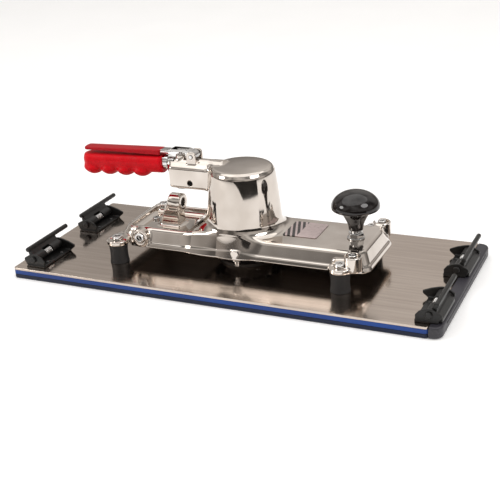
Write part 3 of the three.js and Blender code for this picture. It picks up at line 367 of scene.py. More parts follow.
def tube(name, path, radius, finish, sides=10):
    """A round wire along a path, closed at both ends."""
    path = np.array(path, float)
    along = np.gradient(path, axis=0)
    along /= np.linalg.norm(along, axis=1)[:, None]
    side = np.cross(along, [0.31, 0.17, 0.93])
    side /= np.linalg.norm(side, axis=1)[:, None]
    up = np.cross(along, side)
    points, faces = [], []
    for i, spot in enumerate(path):
        for k in range(sides):
            angle = 2 * math.pi * k / sides
            points.append(spot + radius * (math.cos(angle) * side[i] + math.sin(angle) * up[i]))
    for i in range(len(path) - 1):
        for k in range(sides):
            n = (k + 1) % sides
            faces.append((i * sides + k, i * sides + n, (i + 1) * sides + n, (i + 1) * sides + k))
    faces.append(tuple(range(sides))[::-1])
    faces.append(tuple((len(path) - 1) * sides + k for k in range(sides)))
    return add_mesh(name, points, faces, finish)


def flat_sheet(name, low, high, corner, steps, finish):
    """A sheet that fills a box, with round corners of `steps` facets each."""
    outline = []
    for cx, cy, start in ((1, 1, 0), (-1, 1, 90), (-1, -1, 180), (1, -1, 270)):
        x = high[0] - corner if cx > 0 else low[0] + corner
        y = high[1] - corner if cy > 0 else low[1] + corner
        for k in range(steps + 1):
            angle = math.radians(start + k * 90 / steps)
            outline.append((x + corner * math.cos(angle), y + corner * math.sin(angle)))
    points = [(x, y, z) for z in (low[2], high[2]) for x, y in outline]
    count = len(outline)
    faces = [(k, (k + 1) % count, count + (k + 1) % count, count + k) for k in range(count)]
    faces += [tuple(range(count))[::-1], tuple(range(count, 2 * count))]
    return add_mesh(name, points, faces, finish)


# %% [markdown]
# ## The pad
#
# Four layers are stacked: a matt black face that the paper lies on, a blue foam that lets it follow the work, a thin
# stainless plate that holds it flat, and a rubber strip that closes the front end. Each has its own small edge radius,
# because a dead sharp edge catches no light.

# %% Pad layers


def slab(name, node, finish, slot, edge):
    low, high = node_box(node)
    made = flat_sheet(name, low, high, 3, 8, finish)
    finish_edges(made, edge, 3, 50)
    return settle(made, "pad", slot, node)


slab("pad_face", "face_layer", FACE, "face_rubber", 0.8)
slab("pad_foam", "foam_layer", FOAM, "blue_foam", 0.5)
slab("pad_sheet", "pad_plate", BRUSHED, "brushed_plate", 0.35)

bump_low, bump_high = node_box("front_bumper")


def bumper_rule(x, y, z):
    corner = 9.0
    px = np.abs(x - (bump_high[0] - 20)) - 20 + corner
    py = np.abs(y) - bump_high[1] + corner
    flat = rounded(px, py, corner)
    body = soft_max(flat, np.abs(z - PLATE / 2) - PLATE / 2, 2.4)
    groove = box_rule(x, y, z, (bump_high[0] - 1.0, -80, 7.6), (bump_high[0] + 3, 80, 8.2), 0.2)
    return np.maximum(soft_max(body, -groove, 0.8), bump_low[0] - x)


settle(skin("bumper_strip", bumper_rule, bump_low, bump_high, FINE, BUMPER), "pad", "black_rubber", "front_bumper")

# %% [markdown]
# ## Posts and bolts
#
# The casting floats on four rubber posts. A steel washer is bonded in the top of a post, and a socket screw holds it to
# its ear. The socket is cut as a true hexagon.

# %% Posts, bolts and boss screws


def socket_screw(name, body, slot, node, x, y, bottom, seat, top, head, shank, key, finish=STEEL):
    def rule(px, py, pz):
        px, py = px - x, py - y
        stem = rod_rule(px, py, pz, shank, bottom, seat + 0.5, 0.4)
        cap = rod_rule(px, py, pz, head, seat, top, 0.7)
        hexagon = np.maximum(np.abs(px), np.abs(px) / 2 + np.abs(py) * math.sqrt(3) / 2) - key
        hole = np.maximum(hexagon, (seat + (top - seat) * 0.3) - pz)
        return soft_max(soft_min(stem, cap, 0.5), -hole, 0.4)

    made = skin(name, rule, (x - head, y - head, bottom), (x + head, y + head, top), 0.45 * FINE, finish)
    return settle(made, body, slot, node)


corners = ["rear_near", "rear_far", "front_near", "front_far"]
post_at = {}
# The bores are wide, so that the bolts stay clear of them as the pad orbits.
POST_BORE = 6.6
WASHER_BORE = 6.7
for corner in corners:
    low, high = node_box(f"isolator_post_{corner}")
    x, y = (low[:2] + high[:2]) / 2
    post_at[corner] = (x, y)
    r = (high[0] - low[0]) / 2
    h = high[2] - low[2]
    waist = [(r - 0.5 * math.sin(math.pi * t) - 0.25, 1.6 + (h - 3.2) * t) for t in np.linspace(0.04, 0.96, 12)]
    shape = [(0, 0), (r, 0), (r, 1.5)] + waist + [(r, h - 1.5), (r, h)]
    shape += [(POST_BORE, h), (POST_BORE, h - 9), (0, h - 9)]
    post = turned(f"post_{corner}", shape, RUBBER, (x, y, low[2]), sides=72, edge=0.25)
    settle(post, "pad", "black_rubber", f"isolator_post_{corner}")
    washer = turned(f"washer_{corner}", [(WASHER_BORE, 0), (r - 0.8, 0), (r - 0.8, 0.5), (WASHER_BORE, 0.5)], STEEL,
                    (x, y, high[2] - 0.4), sides=72, edge=0.1)
    settle(washer, "pad", "fastener_steel")
    b_low, b_high = node_box(f"corner_bolt_{corner}")
    socket_screw(f"bolt_{corner}", "housing", "fastener_steel", f"corner_bolt_{corner}", x, y, b_low[2],
                 b_high[2] - 3.6, b_high[2], 5.5, 2.9, 2.6, CHROME)

for side in ("near", "far"):
    low, high = node_box(f"boss_screw_{side}")
    x, y = (low[:2] + high[:2]) / 2
    socket_screw(f"boss_cap_{side}", "housing", "fastener_steel", f"boss_screw_{side}", x, y, low[2], high[2] - 3.8,
                 high[2], 4.3, 2.9, 2.0, CHROME)

# %% [markdown]
# ## The casting
#
# The real one is a single aluminium casting, ground and polished by hand, so this is one skin with no seams. The deck
# is a shallow box with leaning sides and a tray, the motor dome grows out of it with a wide fillet, and the valve
# chest hangs between the dome and the handle. Bores are cut last, as they are in the machine shop.

# %% Casting
MOTOR_X = round((node_box("rotor")[0][0] + node_box("rotor")[1][0]) / 2, 1)
DECK = PLATE + 34
SKIRT = PLATE + 16
POST_TOP = PLATE + 20
POST_POCKET = 13.6
DECK_MIDDLE = 4
SIDE_WALL = 31
TRAY_FLOOR = PLATE + 27
DOME_TOP_RADIUS, DOME_TAPER = 32.9, 6.4
knob_x = round((node_box("front_knob")[0][0] + node_box("front_knob")[1][0]) / 2, 1)
boss_x, boss_y = node_middle("boss_screw_far")[:2]
plug_high = node_box("side_plug")[1]
plug_x, _, plug_z = node_middle("side_plug")
plug_up = plug_z - PLATE
drain_x, drain_y, _ = node_middle("oil_drain_screw")
pivot_x, _, pivot_z = node_middle("lever_pin")
pivot_up = pivot_z - PLATE
vent_up = node_middle("exhaust_muffler")[2] - PLATE
tube_up = 96.5
set_screw_x, set_screw_up = -57, 79
stem_low, stem_high = node_box("valve_stem")
stem_x = (stem_low[0] + stem_high[0]) / 2


def frustum(x, y, z, centre, half_x, half_y, low, high, lean, corner):
    """A rounded oblong whose sides lean out towards its bottom."""
    grow = lean * np.clip((high - z) / (high - low), -0.2, 1.2)
    px = np.abs(x - centre) - half_x - grow + corner
    py = np.abs(y) - half_y - grow + corner
    flat = rounded(px, py, corner)
    return flat * math.cos(math.atan2(lean, high - low))


def dome_rule(x, y, z):
    """The motor's round housing, wider towards its foot, with a barely crowned top."""
    share = np.clip((z - DECK) / 62, -0.35, 1)
    radius = DOME_TOP_RADIUS + DOME_TAPER * (1 - share) ** 0.72
    across = np.sqrt((x - MOTOR_X) ** 2 + y ** 2)
    crown = PLATE + 100.6 - 0.0016 * across ** 2
    return soft_max(across - radius, z - crown, 6.0)


def casting_rule(x, y, z):
    outer = soft_max(frustum(x, y, z, DECK_MIDDLE, 131, 35.5, SKIRT, DECK, 8, 13), z - DECK, 3.0)
    outer = soft_max(outer, SKIRT - z, 1.2)
    bead = frustum(x, y, z, DECK_MIDDLE, 132.5, 37, SKIRT, DECK, 7.0, 14)
    bead = soft_max(bead, np.abs(z - SKIRT - 2.2) - 2.2, 1.4)
    outer = soft_min(outer, bead, 1.5)
    tray = box_rule(x, y, z, (-122, -30.5, TRAY_FLOOR), (-50, 30.5, DECK + 40), 6.0)
    outer = soft_max(outer, -tray, 1.8)
    left = np.clip((MOTOR_X - 14 - x) / 30, 0, 1)
    shape = soft_min(outer, soft_max(dome_rule(x, y, z), np.abs(y) - 43.5, 3), 12 + 18 * left)
    for side in (-1, 1):
        shape = soft_min(shape, rod_rule(x - boss_x, y - side * boss_y, z, 9, POST_TOP, PLATE + 35.5, 1.2), 5)
        web_y = sorted((side * SIDE_WALL, side * boss_y))
        web = box_rule(x, y, z, (boss_x - 7, web_y[0], POST_TOP), (boss_x + 3, web_y[1], DECK - 1), 1.5)
        shape = soft_min(shape, web, 3)
    for px, py in post_at.values():
        side = math.copysign(1, py)
        shape = soft_min(shape, rod_rule(x - px, y - py, z, 11.5, POST_TOP + 0.3, POST_TOP + 5, 1.2), 3)
        web_y = sorted((side * SIDE_WALL, py))
        web = box_rule(x, y, z, (px - 9, web_y[0], POST_TOP + 0.3), (px + 9, web_y[1], POST_TOP + 5), 1.2)
        shape = soft_min(shape, web, 3.5)
    chest = box_rule(x, y, z, (-82, -13, PLATE + 72), (-37, 13, PLATE + 96), 4.0)
    bar = rod_rule(y, z - PLATE - 94, x, 8.6, -84, MOTOR_X - 20, 0.8)
    shape = soft_min(shape, soft_min(chest, bar, 5), 5)
    guide = rod_rule(x - stem_x, y, z, 5.2, PLATE + 92, PLATE + 105.5, 0.6)
    shape = soft_min(shape, guide, 2)
    ears = box_rule(x, np.abs(y), z, (-61.4, 5.8, PLATE + 92), (-50.6, 8.6, PLATE + 111), 1.0)
    over_pivot = z - PLATE - pivot_up
    ear_end = np.sqrt((x - pivot_x) ** 2 + over_pivot ** 2) - 5.6 + np.minimum(over_pivot, 0)
    ears = soft_max(ears, ear_end, 0.6)
    shape = soft_min(shape, ears, 1.2)
    boss = rod_rule(y, z - PLATE - vent_up, x, 9.4, -88, -74, 1.0)
    foot = plate_rule(x, z - PLATE, y, [(-100, 26), (-77, 26), (-76, 52.5), (-87, 57.5), (-93, 48.5)], -8, 8, 2.0)
    shape = soft_min(shape, soft_min(boss, foot, 3), 5)
    side_boss = rod_rule(x - plug_x, z - PLATE - plug_up, y, 9.0, -45, -32, 1.0)
    drain_boss = rod_rule(x - drain_x, y - drain_y, z, 5.4, SKIRT, SKIRT + 8, 0.8)
    shape = soft_min(soft_min(shape, side_boss, 3), drain_boss, 2)

    hollow = soft_max(frustum(x, y, z, DECK_MIDDLE, 126.5, 31, SKIRT, DECK - 5, 8, 11), z - DECK + 5, 3)
    under = box_rule(x, y, z, (-127, -36, PLATE + 22), (-45, 36, DECK + 5), 1.5)
    hollow = soft_max(hollow, -under, 2)
    keep = rod_rule(x - MOTOR_X, y, z, 34.6, SKIRT - 5, DECK + 5, 0.5)
    hollow = soft_max(hollow, -keep, 2)
    shape = soft_max(shape, -hollow, 1.0)
    cuts = [
        rod_rule(x - MOTOR_X, y, z, 30.2, SKIRT - 9, PLATE + 92, 1.0),
        rod_rule(y, z - PLATE - vent_up, x, 4.6, -82.4, -60, 0.3),
        rod_rule(x - plug_x, z - PLATE - plug_up, y, 5.75, -60, -39.6, 0.3),
        rod_rule(x - stem_x, y, z, 2.1, PLATE + 70, PLATE + 120, 0.2),
        rod_rule(x - stem_x, y, z, 5.6, PLATE + 60, PLATE + 87, 0.3),
        rod_rule(y, z - PLATE - tube_up, x, 6.7, -99, -77, 0.3),
        rod_rule(x - set_screw_x, z - PLATE - set_screw_up, y, 2.8, -20, -8, 0.3),
        rod_rule(x - pivot_x, over_pivot, y, 5.2, -5.7, 5.7, 0.2),
        rod_rule(x - pivot_x, over_pivot, y, 2.15, -20, 20, 0.1),
        rod_rule(x - knob_x, y, z, 4.2, DECK - 9, DECK + 5, 0.2),
        rod_rule(x - drain_x, y - drain_y, z, 3.15, SKIRT - 5, SKIRT + 5, 0.2),
    ]
    for side in (-1, 1):
        cuts.append(rod_rule(x - boss_x, y - side * boss_y, z, 6.6, PLATE + 32.5, PLATE + 40, 0.3))
        cuts.append(rod_rule(x - boss_x, y - side * boss_y, z, 3.1, POST_TOP - 5, PLATE + 40, 0.2))
    for px, py in post_at.values():
        cuts.append(rod_rule(x - px, y - py, z, 3.3, POST_TOP - 5, PLATE + 30, 0.2))
        cuts.append(rod_rule(x - px, y - py, z, 6.2, POST_TOP + 5, PLATE + 42, 0.3))
        cuts.append(rod_rule(x - px, y - py, z, POST_POCKET, POST_TOP - 20, POST_TOP, 0.2))
    for hole in cuts:
        shape = soft_max(shape, -hole, 0.5)
    return shape


cast_low, cast_high = node_box("housing_casting")
casting = skin("casting_skin", casting_rule, cast_low, cast_high, 0.9 * FINE, POLISHED)
settle(casting, "housing", "polished_casting", "housing_casting")
casting.data.materials.append(DARK_CAST_AND_PAINTED_SHADE)
# Faces inside the hollow are given a dark painted shade instead of the polish; the ceiling is lower under the tray.
inside = 0
for face in casting.data.polygons:
    x, y, z = (1000 * value for value in face.center)
    ceiling = PLATE + 24.5 if x < -44 else DECK - 3.5
    if z < ceiling and frustum(x, y, z, DECK_MIDDLE, 129, 33.5, SKIRT, DECK, 8, 12) < 0:
        face.material_index = 1
        inside += 1
print("faces in painted shade:", inside)

# %% [markdown]
# ## Valve, exhaust and small fittings
#
# A casting is never bare: plugs, screws and a vent break up the polish. Each sits in a machined seat, so each has its
# own bright or dark ring.

# %% Fittings
plug = turned("plug", [(0, 0), (5.5, 0), (5.5, 5.6), (4.9, 6.5), (3.3, 6.5), (2.9, 6.1), (2.9, 2.6), (0, 2.2)], CHROME,
              (plug_x, plug_high[1], plug_z), "-y", 48, 0.25)
settle(plug, "housing", "fastener_steel", "side_plug")
plug_socket = turned("plug_socket", [(0, 0), (2.75, 0), (2.75, 0.3), (0, 0.3)], DARK,
                     (plug_x, plug_high[1] - 2.2, plug_z), "-y", 6, 0)
settle(plug_socket, "housing", "fastener_steel")

drain_low = node_box("oil_drain_screw")[0]
drain = turned("drain", [(0, 0), (2.6, 0), (3, 0.5), (3, 6), (4.9, 6), (4.9, 9.9), (3, 9.9), (3, 14), (0, 14)], STEEL,
               (drain_x, drain_y, drain_low[2]), sides=48, edge=0.3)
settle(drain, "housing", "fastener_steel", "oil_drain_screw")

vent_low = node_box("exhaust_muffler")[0]
vent = turned("vent", [(0, -0.2), (4.3, 0), (4.3, 6.2), (3.4, 5.6), (0, 4.4)], FELT,
              (vent_low[0], 0, PLATE + vent_up), "x", 40, 0.2)
settle(vent, "housing", "felt", "exhaust_muffler")

stem = turned("stem", [(0, 0), (4.5, 0), (4.5, 1.9), (1.8, 2), (1.8, 23.1), (1.3, 23.7), (0, 23.7)], CHROME,
              (stem_x, 0, stem_low[2]), sides=32, edge=0.15)
settle(stem, "valve", "bearing_steel", "valve_stem")
COIL_FOOT, COIL_HEIGHT = 90.2, 4.9
coil = [(stem_x + 3.2 * math.cos(t), 3.2 * math.sin(t), COIL_FOOT + COIL_HEIGHT * t / (8 * math.pi))
        for t in np.linspace(0, 8 * math.pi, 97)]
settle(tube("stem_coil", coil, 0.55, STEEL), "housing", "spring_steel", "valve_spring")
cap_low = node_box("valve_cap")[0]
cap = turned("cap", [(0, 0), (6.4, 0), (7.1, 0.7), (7.1, 2.3), (5.45, 2.4), (5.45, 8.4), (0, 8.4)], STEEL,
             (stem_x, 0, cap_low[2]), sides=48, edge=0.2)
settle(cap, "housing", "polished_trim", "valve_cap")

for name, spot, radius in (("tray_bolt", (-112, 6), 4.2), ("tray_screw", (-66, -24), 2.6)):
    head = turned(name, [(0, 0), (radius, 0), (radius, 2.0), (radius - 0.6, 2.6), (radius * 0.5, 2.6),
                         (radius * 0.5, 0.8), (0, 0.8)], STEEL, (*spot, PLATE + 26.9), sides=32, edge=0.15)
    settle(head, "housing", "fastener_steel")
set_screw = turned("chest_set_screw", [(0, 0), (2.6, 0), (2.6, 2.0), (1.4, 2.0), (1.4, 0.6), (0, 0.6)], DARK,
                   (set_screw_x, -8.2, PLATE + set_screw_up), "-y", 24, 0.1)
settle(set_screw, "housing", "fastener_steel")

# %% [markdown]
# ## Label
#
# A blank foil plate: dark slanted bars at one end and a pale field at the other. The bars are a wave pattern in the
# material, so they stay sharp at any size.

# %% Label
label_low, label_high = node_box("label_plate")
LABEL = material("printed_foil", (0.46, 0.37, 0.36), (0.62, 0.50, 0.49), (0.25, 0.4), 0.15, 40, 0.05)
tree = LABEL.node_tree
shader = tree.nodes["Principled BSDF"]
paper = shader.inputs["Base Color"].links[0].from_socket
place = tree.nodes.new("ShaderNodeTexCoord").outputs["Object"]
split = linked(tree, "ShaderNodeSeparateXYZ", Vector=place)


def calc(kind, a, b):
    node = tree.nodes.new("ShaderNodeMath")
    node.operation = kind
    for slot_number, value in enumerate((a, b)):
        if isinstance(value, bpy.types.NodeSocket):
            tree.links.new(value, node.inputs[slot_number])
        else:
            node.inputs[slot_number].default_value = value
    return node.outputs[0]


slant = calc("ADD", split.outputs["X"], calc("MULTIPLY", split.outputs["Y"], 0.35))
bars = calc("GREATER_THAN", calc("FRACT", calc("MULTIPLY", slant, 190.0), 0.0), 0.42)
left_end = calc("LESS_THAN", split.outputs["X"], (label_low[0] + 15) / 1000)
inked = calc("MULTIPLY", bars, left_end)
mix = tree.nodes.new("ShaderNodeMix")
mix.data_type = "RGBA"
tree.links.new(inked, mix.inputs["Factor"])
COLOUR_A, COLOUR_B, COLOUR_OUT = 6, 7, 2
tree.links.new(paper, mix.inputs[COLOUR_A])
mix.inputs[COLOUR_B].default_value = (0.035, 0.030, 0.030, 1)
tree.links.new(mix.outputs[COLOUR_OUT], shader.inputs["Base Color"])

label = flat_sheet("label", label_low, label_high, 2, 6, LABEL)
settle(finish_edges(label, 0.15), "housing", "label", "label_plate")

# %% [markdown]
# ## Front knob
#
# The knob is moulded in one piece: a shallow cap whose skirt curls under into a waisted neck. It is lathed from a
# smooth curve through a few radii, then screwed to a stud with a washer under it.

# %% Knob
knob_low = node_box("front_knob")[0]


def smooth_profile(corners, steps=6):
    """A rounded curve through the corners of a profile."""
    corners = np.array(corners, float)
    ends = np.vstack([2 * corners[0] - corners[1], corners, 2 * corners[-1] - corners[-2]])
    out = []
    for p0, p1, p2, p3 in zip(ends, ends[1:], ends[2:], ends[3:]):
        for t in np.linspace(0, 1, steps, endpoint=False):
            out.append(0.5 * (2 * p1 + (p2 - p0) * t + (2 * p0 - 5 * p1 + 4 * p2 - p3) * t ** 2
                              + (3 * p1 - p0 - 3 * p2 + p3) * t ** 3))
    out.append(corners[-1])
    return [(max(float(r), 0.0), float(h)) for r, h in out]


under = smooth_profile([(7.1, 0.3), (7.5, 4), (8.7, 8), (10.9, 12.5), (13.2, 16.5), (16.5, 20.2), (20.5, 21.6),
                        (23.2, 22.4), (23.9, 24.0)])
over = [(23.9 * math.cos(t), 24.3 + 16.1 * math.sin(t)) for t in np.linspace(0.03, math.pi / 2 - 0.02, 26)]
knob = turned("knob", [(4.3, 0.1), (6.7, 0.1)] + under + over + [(0, 40.42)], PLASTIC, (knob_x, 0, knob_low[2]),
              sides=128, edge=0)
settle(knob, "housing", "black_plastic", "front_knob")

stud_low = node_box("knob_stud")[0]
stud = turned("stud", [(0, 0), (3.9, 0), (3.9, 8.1), (8.8, 8.1), (8.8, 9.4), (5, 10), (5, 16.8), (3.9, 17), (3.9, 30),
                       (0, 30)], STEEL, (knob_x, 0, stud_low[2]), sides=48, edge=0.25)
settle(stud, "housing", "fastener_steel", "knob_stud")
nut = turned("stud_nut", [(4.9, 0), (8.0, 0), (8.0, 4.4), (7.3, 5.0), (4.9, 5.0)], CHROME,
             (knob_x, 0, stud_low[2] + 9.5), sides=6, edge=0.3)
settle(nut, "housing", "fastener_steel")

# %% [markdown]
# ## Handle and throttle lever
#
# The grip is a soft sleeve dipped over a tube, with four finger ridges underneath and a flat land on top where the
# lever lies. The lever is a bent blade: red coating over the palm, bare metal at the nose that presses the valve.

# %% Handle
tilt = math.radians(1.9)
neck_x = -83
to_handle = Matrix.Translation((neck_x, 0, PLATE + tube_up)) @ Matrix.Rotation(-tilt, 4, "Y")


def grip_rule(x, y, z):
    """x runs from -103 at the free end to -8 at the neck."""
    away = np.sqrt(y * y + z * z)
    barrel = soft_max(away - 12.0, np.abs(x + 55.5) - 47.3, 3.0)
    cone = (away - 12.0 + (-98 - x) * 0.8) * 0.78
    barrel = soft_max(barrel, cone, 1.5)
    below = np.clip((-z - 2) / 8, 0, 1)
    below = below * below * (3 - 2 * below)
    for number in range(4):
        middle = -(35.0 + 20 * number)
        ridge = away - (11.4 + 5.4 * below) + ((x - middle) / 6.6) ** 2 * 2.2
        barrel = soft_min(barrel, ridge * 0.7, 1.8)
    barrel = soft_max(barrel, z - 7.0, 1.6)
    hollow = rod_rule(y, z, x, 6.25, -110, 0, 0.1)
    return soft_max(barrel, -hollow, 0.3)


grip = skin("grip", grip_rule, (-103, -17, -17.5), (-8, 17, 8), 0.75 * FINE, GRIP, to_handle)
settle(grip, "housing", "red_grip", "grip_sleeve")


def handle_turned(name, profile, finish, sides=48, edge=0.25):
    """Lathe along the handle's own axis, then carry the points to where the handle is."""
    made = turned(name, profile, finish, (0, 0, 0), "x", sides, edge)
    carry = np.array(to_handle)
    for vertex in made.data.vertices:
        x, y, z = (c * 1000 for c in vertex.co)
        spot = carry @ np.array([x, y, z, 1])
        vertex.co = spot[:3] / 1000
    return made


pipe = handle_turned("tube", [(4.5, -102.9), (6.05, -102.9), (6.05, -8.2), (7.9, -8.2), (7.9, -1.9), (5.7, -1.8),
                              (5.7, 4.4), (4.5, 4.4), (4.5, -102.9)], CHROME)
settle(pipe, "housing", "polished_trim", "handle_tube")
bush = handle_turned("bush", [(3.1, -103.9), (4.2, -103.9), (4.2, -93.1), (3.1, -93.1), (3.1, -103.9)], BRASS)
settle(bush, "housing", "brass", "inlet_bush")

nose_under = pivot_z + 3


def blade_rule(x, y, z):
    bend = 14.55 - 0.0178 * y * y
    plate = np.abs(z - bend + 1.1) - 1.05
    skirt = np.maximum(np.abs(np.abs(y) - 6.7) - 0.75, np.maximum(z - bend + 0.6, 8.5 - 0.0314 * (x + 9) - z))
    flat = box_rule(x, y, z, (-102, -7.45, 6), (-9, 7.45, 18), 3.0)
    return soft_max(soft_min(plate, skirt, 1.4), flat, 0.8)


blade = skin("lever_blade", blade_rule, (-102.5, -7.5, 7.5), (-8.5, 7.5, 14.7), 0.6 * FINE, LEVER, to_handle)
settle(blade, "throttle", "red_lever", "throttle_lever")

STRIP_REACH = 12
strip_x = neck_x - STRIP_REACH
strip_top = PLATE + tube_up - STRIP_REACH * math.tan(tilt) + 14.3


def nose_rule(x, y, z):
    """A bare steel arm from the pivot, over the valve stem, to the strip that lies on the red blade."""
    outline = [(pivot_x, pivot_z - 4.0), (pivot_x + 0.2, pivot_z + 4.3), (stem_x + 8, nose_under + 3.8),
               (stem_x - 6, nose_under + 3.8), (stem_x - 12, strip_top - 0.1), (strip_x, strip_top - 0.1),
               (strip_x, strip_top - 1.4), (stem_x - 12, strip_top - 2.4), (stem_x - 6, nose_under + 0.1),
               (pivot_x - 7, nose_under + 0.1)]
    arm = plate_rule(x, z, y, outline, -5.2, 5.2, 0.7)
    knuckle = rod_rule(x - pivot_x, z - pivot_z, y, 4.3, -5.2, 5.2, 0.7)
    hole = np.sqrt((x - pivot_x) ** 2 + (z - pivot_z) ** 2) - 2.1
    return soft_max(soft_min(arm, knuckle, 1.5), -hole, 0.3)


nose = skin("lever_nose", nose_rule, (-96, -5.3, pivot_z - 4.4), (-51.5, 5.3, strip_top + 0.2), 0.5 * FINE, STEEL)
settle(nose, "throttle", "red_lever", "throttle_lever")
pin = turned("pivot_pin", [(0, -9.2), (1.9, -9.2), (1.9, 9.2), (0, 9.2)], CHROME, (pivot_x, 0, pivot_z), "y", 24, 0.3)
settle(pin, "housing", "fastener_steel", "lever_pin")

# %% [markdown]
# ## Paper clips
#
# Each clip is a bent sheet base with two cheeks, a pin through both, a sprung jaw that nips the paper against the base,
# and a finger bar to lift the jaw. The blank is thin, so its corners are rounded by less than half its thickness.

# %% Clips
RIVETS = (12, 38)
PIN_UP = 8
COIL_TURNS = 7

for corner in corners:
    base_low, base_high = node_box(f"clip_base_{corner}")
    jaw_low, jaw_high = node_box(f"clip_jaw_{corner}")
    side = -1 if corner.startswith("rear") else 1
    first = base_low[1]
    centre = node_middle(f"clip_pin_{corner}")[0]
    bar_end = jaw_high[1]

    def local(x, y, z):
        return (x - centre) * -side, y - first, z - PLATE

    near_cheek = [(-8, 0.3), (12.6, 0.3), (12.8, 6.6), (9.5, 10.6), (4, 13.2), (0, 13.9), (-3.2, 13.7), (-11.6, 8.9),
                  (-11.8, 6.3)]
    far_cheek = [(-8, 0.3), (12.6, 0.3), (18.7, 5.3), (18.8, 7.8), (11, 11.2), (4, 13.2), (0, 13.9), (-3.2, 13.7),
                 (-11.6, 8.9), (-11.8, 6.3)]

    def base_rule(x, y, z):
        x, y, z = local(x, y, z)
        floor = box_rule(x, y, z, (-8, 0, 0.1), (13, 50, 2.1), 0.6)
        shape = soft_min(floor, plate_rule(x, z, y, near_cheek, 0.02, 2.1, 0.6), 1.6)
        shape = soft_min(shape, plate_rule(x, z, y, far_cheek, 47.9, 49.98, 0.6), 1.6)
        hole = np.sqrt(x * x + (z - PIN_UP) ** 2) - 2.1
        for spot in RIVETS:
            slot_cut = rod_rule(x - 8.6, y - spot, z, 2.4, -5, 9, 0.1)
            shape = soft_max(shape, -slot_cut, 0.3)
        return soft_max(shape, -hole, 0.3)

    base = skin(f"base_{corner}", base_rule, base_low, base_high, 0.7 * FINE, BLACK_OXIDE)
    settle(base, "pad", "clip_steel", f"clip_base_{corner}")
    for spot in RIVETS:
        rivet = turned(f"rivet_{corner}_{spot}", [(0, 0.1), (2.2, 0.1), (2.9, 1.9), (2.9, 2.3), (1.8, 3.1), (0, 3.3)],
                       BLACK_OXIDE, (centre - side * 8.6, first + spot, PLATE), sides=24, edge=0)
        settle(rivet, "pad", "fastener_steel")

    def jaw_rule(x, y, z):
        x, y, z = local(x, y, z)
        leaf = plate_rule(x, z, y, [(-3, 11), (-3, 6.4), (-8.8, 2.6), (-9.2, 0.75), (-11.9, 0.75), (-11.95, 3.9),
                                    (-8, 9.6)], 2.3, 47.7, 0.5)
        riser = plate_rule(x, z, y, [(-4, 8), (0, 11.4), (-5, 17.8), (-7.6, 17.8), (-6.4, 10)], 2.3, 47.7, 0.5)
        barrel = rod_rule(x, z - PIN_UP, y, 4.3, 2.3, 47.7, 0.4)
        shape = soft_min(soft_min(leaf, riser, 1.0), barrel, 1.2)
        shape = soft_min(shape, rod_rule(x + 6.5, z - 18, y, 2.45, 0.05, bar_end - first - 0.05, 1.0), 1.0)
        shape = soft_max(shape, -(np.sqrt(x * x + (z - PIN_UP) ** 2) - 2.15), 0.3)
        return soft_max(shape, -box_rule(x, y, z, (-5.5, 18.9, 2), (5.6, 31.1, 13.3), 0.3), 0.4)

    jaw = skin(f"jaw_{corner}", jaw_rule, jaw_low, jaw_high, 0.7 * FINE, BLACK_OXIDE)
    settle(jaw, f"jaw_{corner}", "clip_steel", f"clip_jaw_{corner}")
    pin = turned(f"pin_{corner}", [(0, -2.3), (2.6, -2.3), (3.3, -1.6), (3.3, -0.1), (1.95, -0.05), (1.95, 51.4),
                                   (1.4, 51.95), (0, 51.95)], BLACK_OXIDE, (centre, first,
                                                                            PLATE + PIN_UP), "y", 28, 0.1)
    settle(pin, "pad", "fastener_steel", f"clip_pin_{corner}")
    wire = [(centre + 3.15 * math.cos(t), first + 19.8 + 10.4 * t / (2 * math.pi * COIL_TURNS),
             PLATE + PIN_UP + 3.15 * math.sin(t))
            for t in np.linspace(0, 2 * math.pi * COIL_TURNS, COIL_TURNS * 20 + 1)]
    settle(tube(f"coil_{corner}", wire, 0.62, STEEL), "pad", "spring_steel", f"clip_spring_{corner}")

# %% [markdown]
# ## Inside the dome
#
# The air motor, its bearings and the eccentric are never seen from outside, but a cut-away would show them. They keep
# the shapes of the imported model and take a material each.

# %% Hidden pieces
inner = {"motor_lock_ring": STEEL, "lower_end_plate": TURNED, "lower_bearing": STEEL, "motor_cylinder": TURNED,
         "upper_end_plate": TURNED, "upper_bearing": STEEL, "rotor": TURNED, "rotor_vane_1": VANE,
         "rotor_vane_2": VANE, "rotor_vane_3": VANE, "rotor_vane_4": VANE, "eccentric_shaft": STEEL,
         "counterweight": DARK_CAST_AND_PAINTED_SHADE, "pad_bearing_housing": DARK_CAST_AND_PAINTED_SHADE, "pad_bearing": STEEL}
for node, finish in inner.items():
    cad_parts[node].data.materials.clear()
    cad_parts[node].data.materials.append(finish)
print("hidden pieces:", len(inner))
hub_low, hub_high = node_box("pad_bearing_housing")
hub_x = (hub_low[0] + hub_high[0]) / 2
for k in range(4):
    angle = math.radians(45 + 90 * k)
    screw = turned(f"hub_screw_{k}", [(0, 0), (3, 0), (3, 2.2), (1.6, 2.2), (1.6, 0.8), (0, 0.8)], STEEL,
                   (hub_x + 25 * math.cos(angle), 25 * math.sin(angle), PLATE + 3.0), sides=24, edge=0.15)
    settle(screw, "pad", "fastener_steel")

# %% [markdown]
# ## Light, floor and camera
#
# Polished metal shows its surroundings, so the room matters as much as the metal. Large soft lights give long pale
# reflections, a warm grey surround gives the darker ones, and a pale floor, which glows a little, holds a soft shadow.
# The camera itself sees a plain white room. A curved dark card stands in front of the tool, hidden from the camera, and
# polished metal shows it as a deep black edge.

